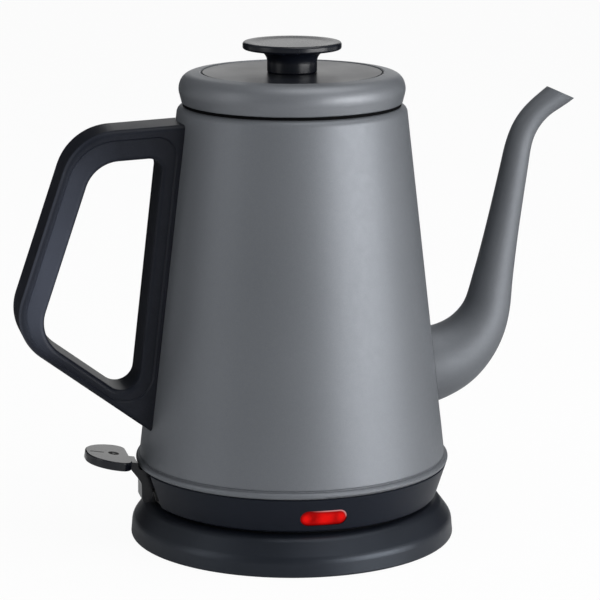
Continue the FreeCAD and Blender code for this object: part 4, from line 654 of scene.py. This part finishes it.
BEHIND = (0.34, 0.94, 0)  # the way to the middle of the bright backdrop
AIR_TONE = (0.96, 0.98, 1.0, 1)
AIR_LIGHT = 0.34
AIR_BEHIND = (0.86, 0.96)  # how squarely behind the backdrop starts, and where it is full
TABLE_RADIUS = 6.0
TABLE_TONE = (0.82, 0.82, 0.82, 1)
TABLE_BEHIND = (0.1, 0.8)  # metres behind the kettle
TABLE_WHITE = 0.95  # the rest of the table's look is its shadow
CARD_TONE = (0.01, 0.01, 0.01, 1)
AIM = Vector((0, 0, 0.11))  # the kettle's middle


def white_where_seen(tree, plain, where, start, end, out):
    """White for the camera, and for reflections of what lies behind the kettle; else the plain shader."""
    path = node(tree, "ShaderNodeLightPath")
    far = node(tree, "ShaderNodeVectorMath", operation="DOT_PRODUCT")
    far.inputs[1].default_value = BEHIND
    tree.links.new(where, far.inputs[0])
    behind = ranged(tree, far.outputs["Value"], 0, 1, start, end)
    mirrored = sums(tree, "MAXIMUM", path.outputs["Is Glossy Ray"], path.outputs["Is Transmission Ray"])
    seen = sums(tree, "MAXIMUM", path.outputs["Is Camera Ray"], sums(tree, "MULTIPLY", mirrored, behind))
    mix = node(tree, "ShaderNodeMixShader")
    tree.links.new(seen, mix.inputs[0])
    tree.links.new(plain, mix.inputs[1])
    tree.links.new(mix.outputs[0], out)
    return mix.inputs[2]


def studio_air():
    """White surroundings, softer as light on the object."""
    world = bpy.data.worlds.new("studio_air")
    scene.world = world
    world.use_nodes = True
    tree = world.node_tree
    tree.nodes.clear()
    out = node(tree, "ShaderNodeOutputWorld")
    way = node(tree, "ShaderNodeTexCoord").outputs["Generated"]
    dim = node(tree, "ShaderNodeBackground")
    dim.inputs["Color"].default_value = AIR_TONE
    dim.inputs["Strength"].default_value = AIR_LIGHT
    white = node(tree, "ShaderNodeBackground")
    white.inputs["Color"].default_value = (1, 1, 1, 1)
    white.inputs["Strength"].default_value = 1.0
    seen = white_where_seen(tree, dim.outputs[0], way, *AIR_BEHIND, out.inputs["Surface"])
    tree.links.new(white.outputs[0], seen)


def table_top():
    """White table that keeps the kettle's shadow."""
    shape = bmesh.new()
    bmesh.ops.create_circle(shape, cap_ends=True, segments=96, radius=TABLE_RADIUS)
    white, tree, shader = finish("table_white")
    made = set_down("table_top", shape, white)
    shader.inputs["Base Color"].default_value = TABLE_TONE
    shader.inputs["Roughness"].default_value = 0.8
    shader.inputs["Specular IOR Level"].default_value = 0.1
    glow = node(tree, "ShaderNodeEmission")
    glow.inputs["Strength"].default_value = 1.0
    shadow = node(tree, "ShaderNodeMixShader")
    shadow.inputs[0].default_value = TABLE_WHITE
    tree.links.new(shader.outputs[0], shadow.inputs[1])
    tree.links.new(glow.outputs[0], shadow.inputs[2])
    out = tree.nodes["Material Output"].inputs["Surface"]
    seen = white_where_seen(tree, shader.outputs[0], place(tree), *TABLE_BEHIND, out)
    tree.links.new(shadow.outputs[0], seen)


def softbox(name, round_by, rise, distance, size, power):
    """Rectangular studio lamp, so many degrees round the kettle and up, aimed at its middle."""
    lamp = bpy.data.lights.new(name, "AREA")
    lamp.shape = "RECTANGLE"
    lamp.size, lamp.size_y = size
    lamp.energy = power
    made = bpy.data.objects.new(name, lamp)
    scene.collection.objects.link(made)
    round_by, rise = math.radians(round_by), math.radians(rise)
    level = math.cos(rise)
    way = Vector((math.sin(round_by) * level, -math.cos(round_by) * level, math.sin(rise)))
    made.location = AIM + way * distance
    made.rotation_euler = way.to_track_quat("Z", "Y").to_euler()


def black_card(name, size, lean, where, round_by):
    """Black card seen only in the kettle's reflections, lying at no lean and upright at 90 degrees."""
    shape = bmesh.new()
    bmesh.ops.create_grid(shape, x_segments=1, y_segments=1, size=0.5)
    bmesh.ops.scale(shape, vec=(*size, 1), verts=shape.verts)
    turn(shape, math.radians(lean), "X", shape.verts)
    bmesh.ops.translate(shape, vec=where, verts=shape.verts)
    turn(shape, math.radians(round_by), "Z", shape.verts)
    black, _, shader = finish(name)
    made = set_down(name, shape, black)
    made.visible_camera = made.visible_shadow = made.visible_diffuse = False
    shader.inputs["Base Color"].default_value = CARD_TONE
    shader.inputs["Roughness"].default_value = 0.9


CAMERA_LENS = 165.5
CAMERA_PLACE = (-0.2483, -1.1683, 0.3685)
CAMERA_DOWN = 12.40  # degrees
CAMERA_TURN = -12.170
CAMERA_ROLL = 0.076


def camera():
    """Long lens a little above the lid, turned to the handle's side."""
    lens = bpy.data.cameras.new("camera")
    lens.lens = CAMERA_LENS
    lens.sensor_width = 36
    made = bpy.data.objects.new("camera", lens)
    scene.collection.objects.link(made)
    made.location = CAMERA_PLACE
    aim = Euler((math.radians(90 - CAMERA_DOWN), 0, math.radians(CAMERA_TURN))).to_matrix()
    made.rotation_euler = (aim @ Matrix.Rotation(math.radians(CAMERA_ROLL), 3, "Z")).to_euler()
    scene.camera = made


studio_air()
table_top()
softbox("right_box", 48, -3, 1.3, (1.15, 1.0), 31.5)
softbox("left_box", -76, 16, 1.6, (0.6, 1.2), 4.2)
softbox("top_box", 60, 72, 1.4, (1.2, 1.0), 10)
black_card("left_card", (0.30, 0.45), 90, (0, -0.35, 0.225), -150)
black_card("right_card", (0.40, 0.60), 90, (0, -0.60, 0.30), 130)
black_card("floor_card", (1.2, 0.90), 0, (0, 0.60, 0.001), -12)
camera()
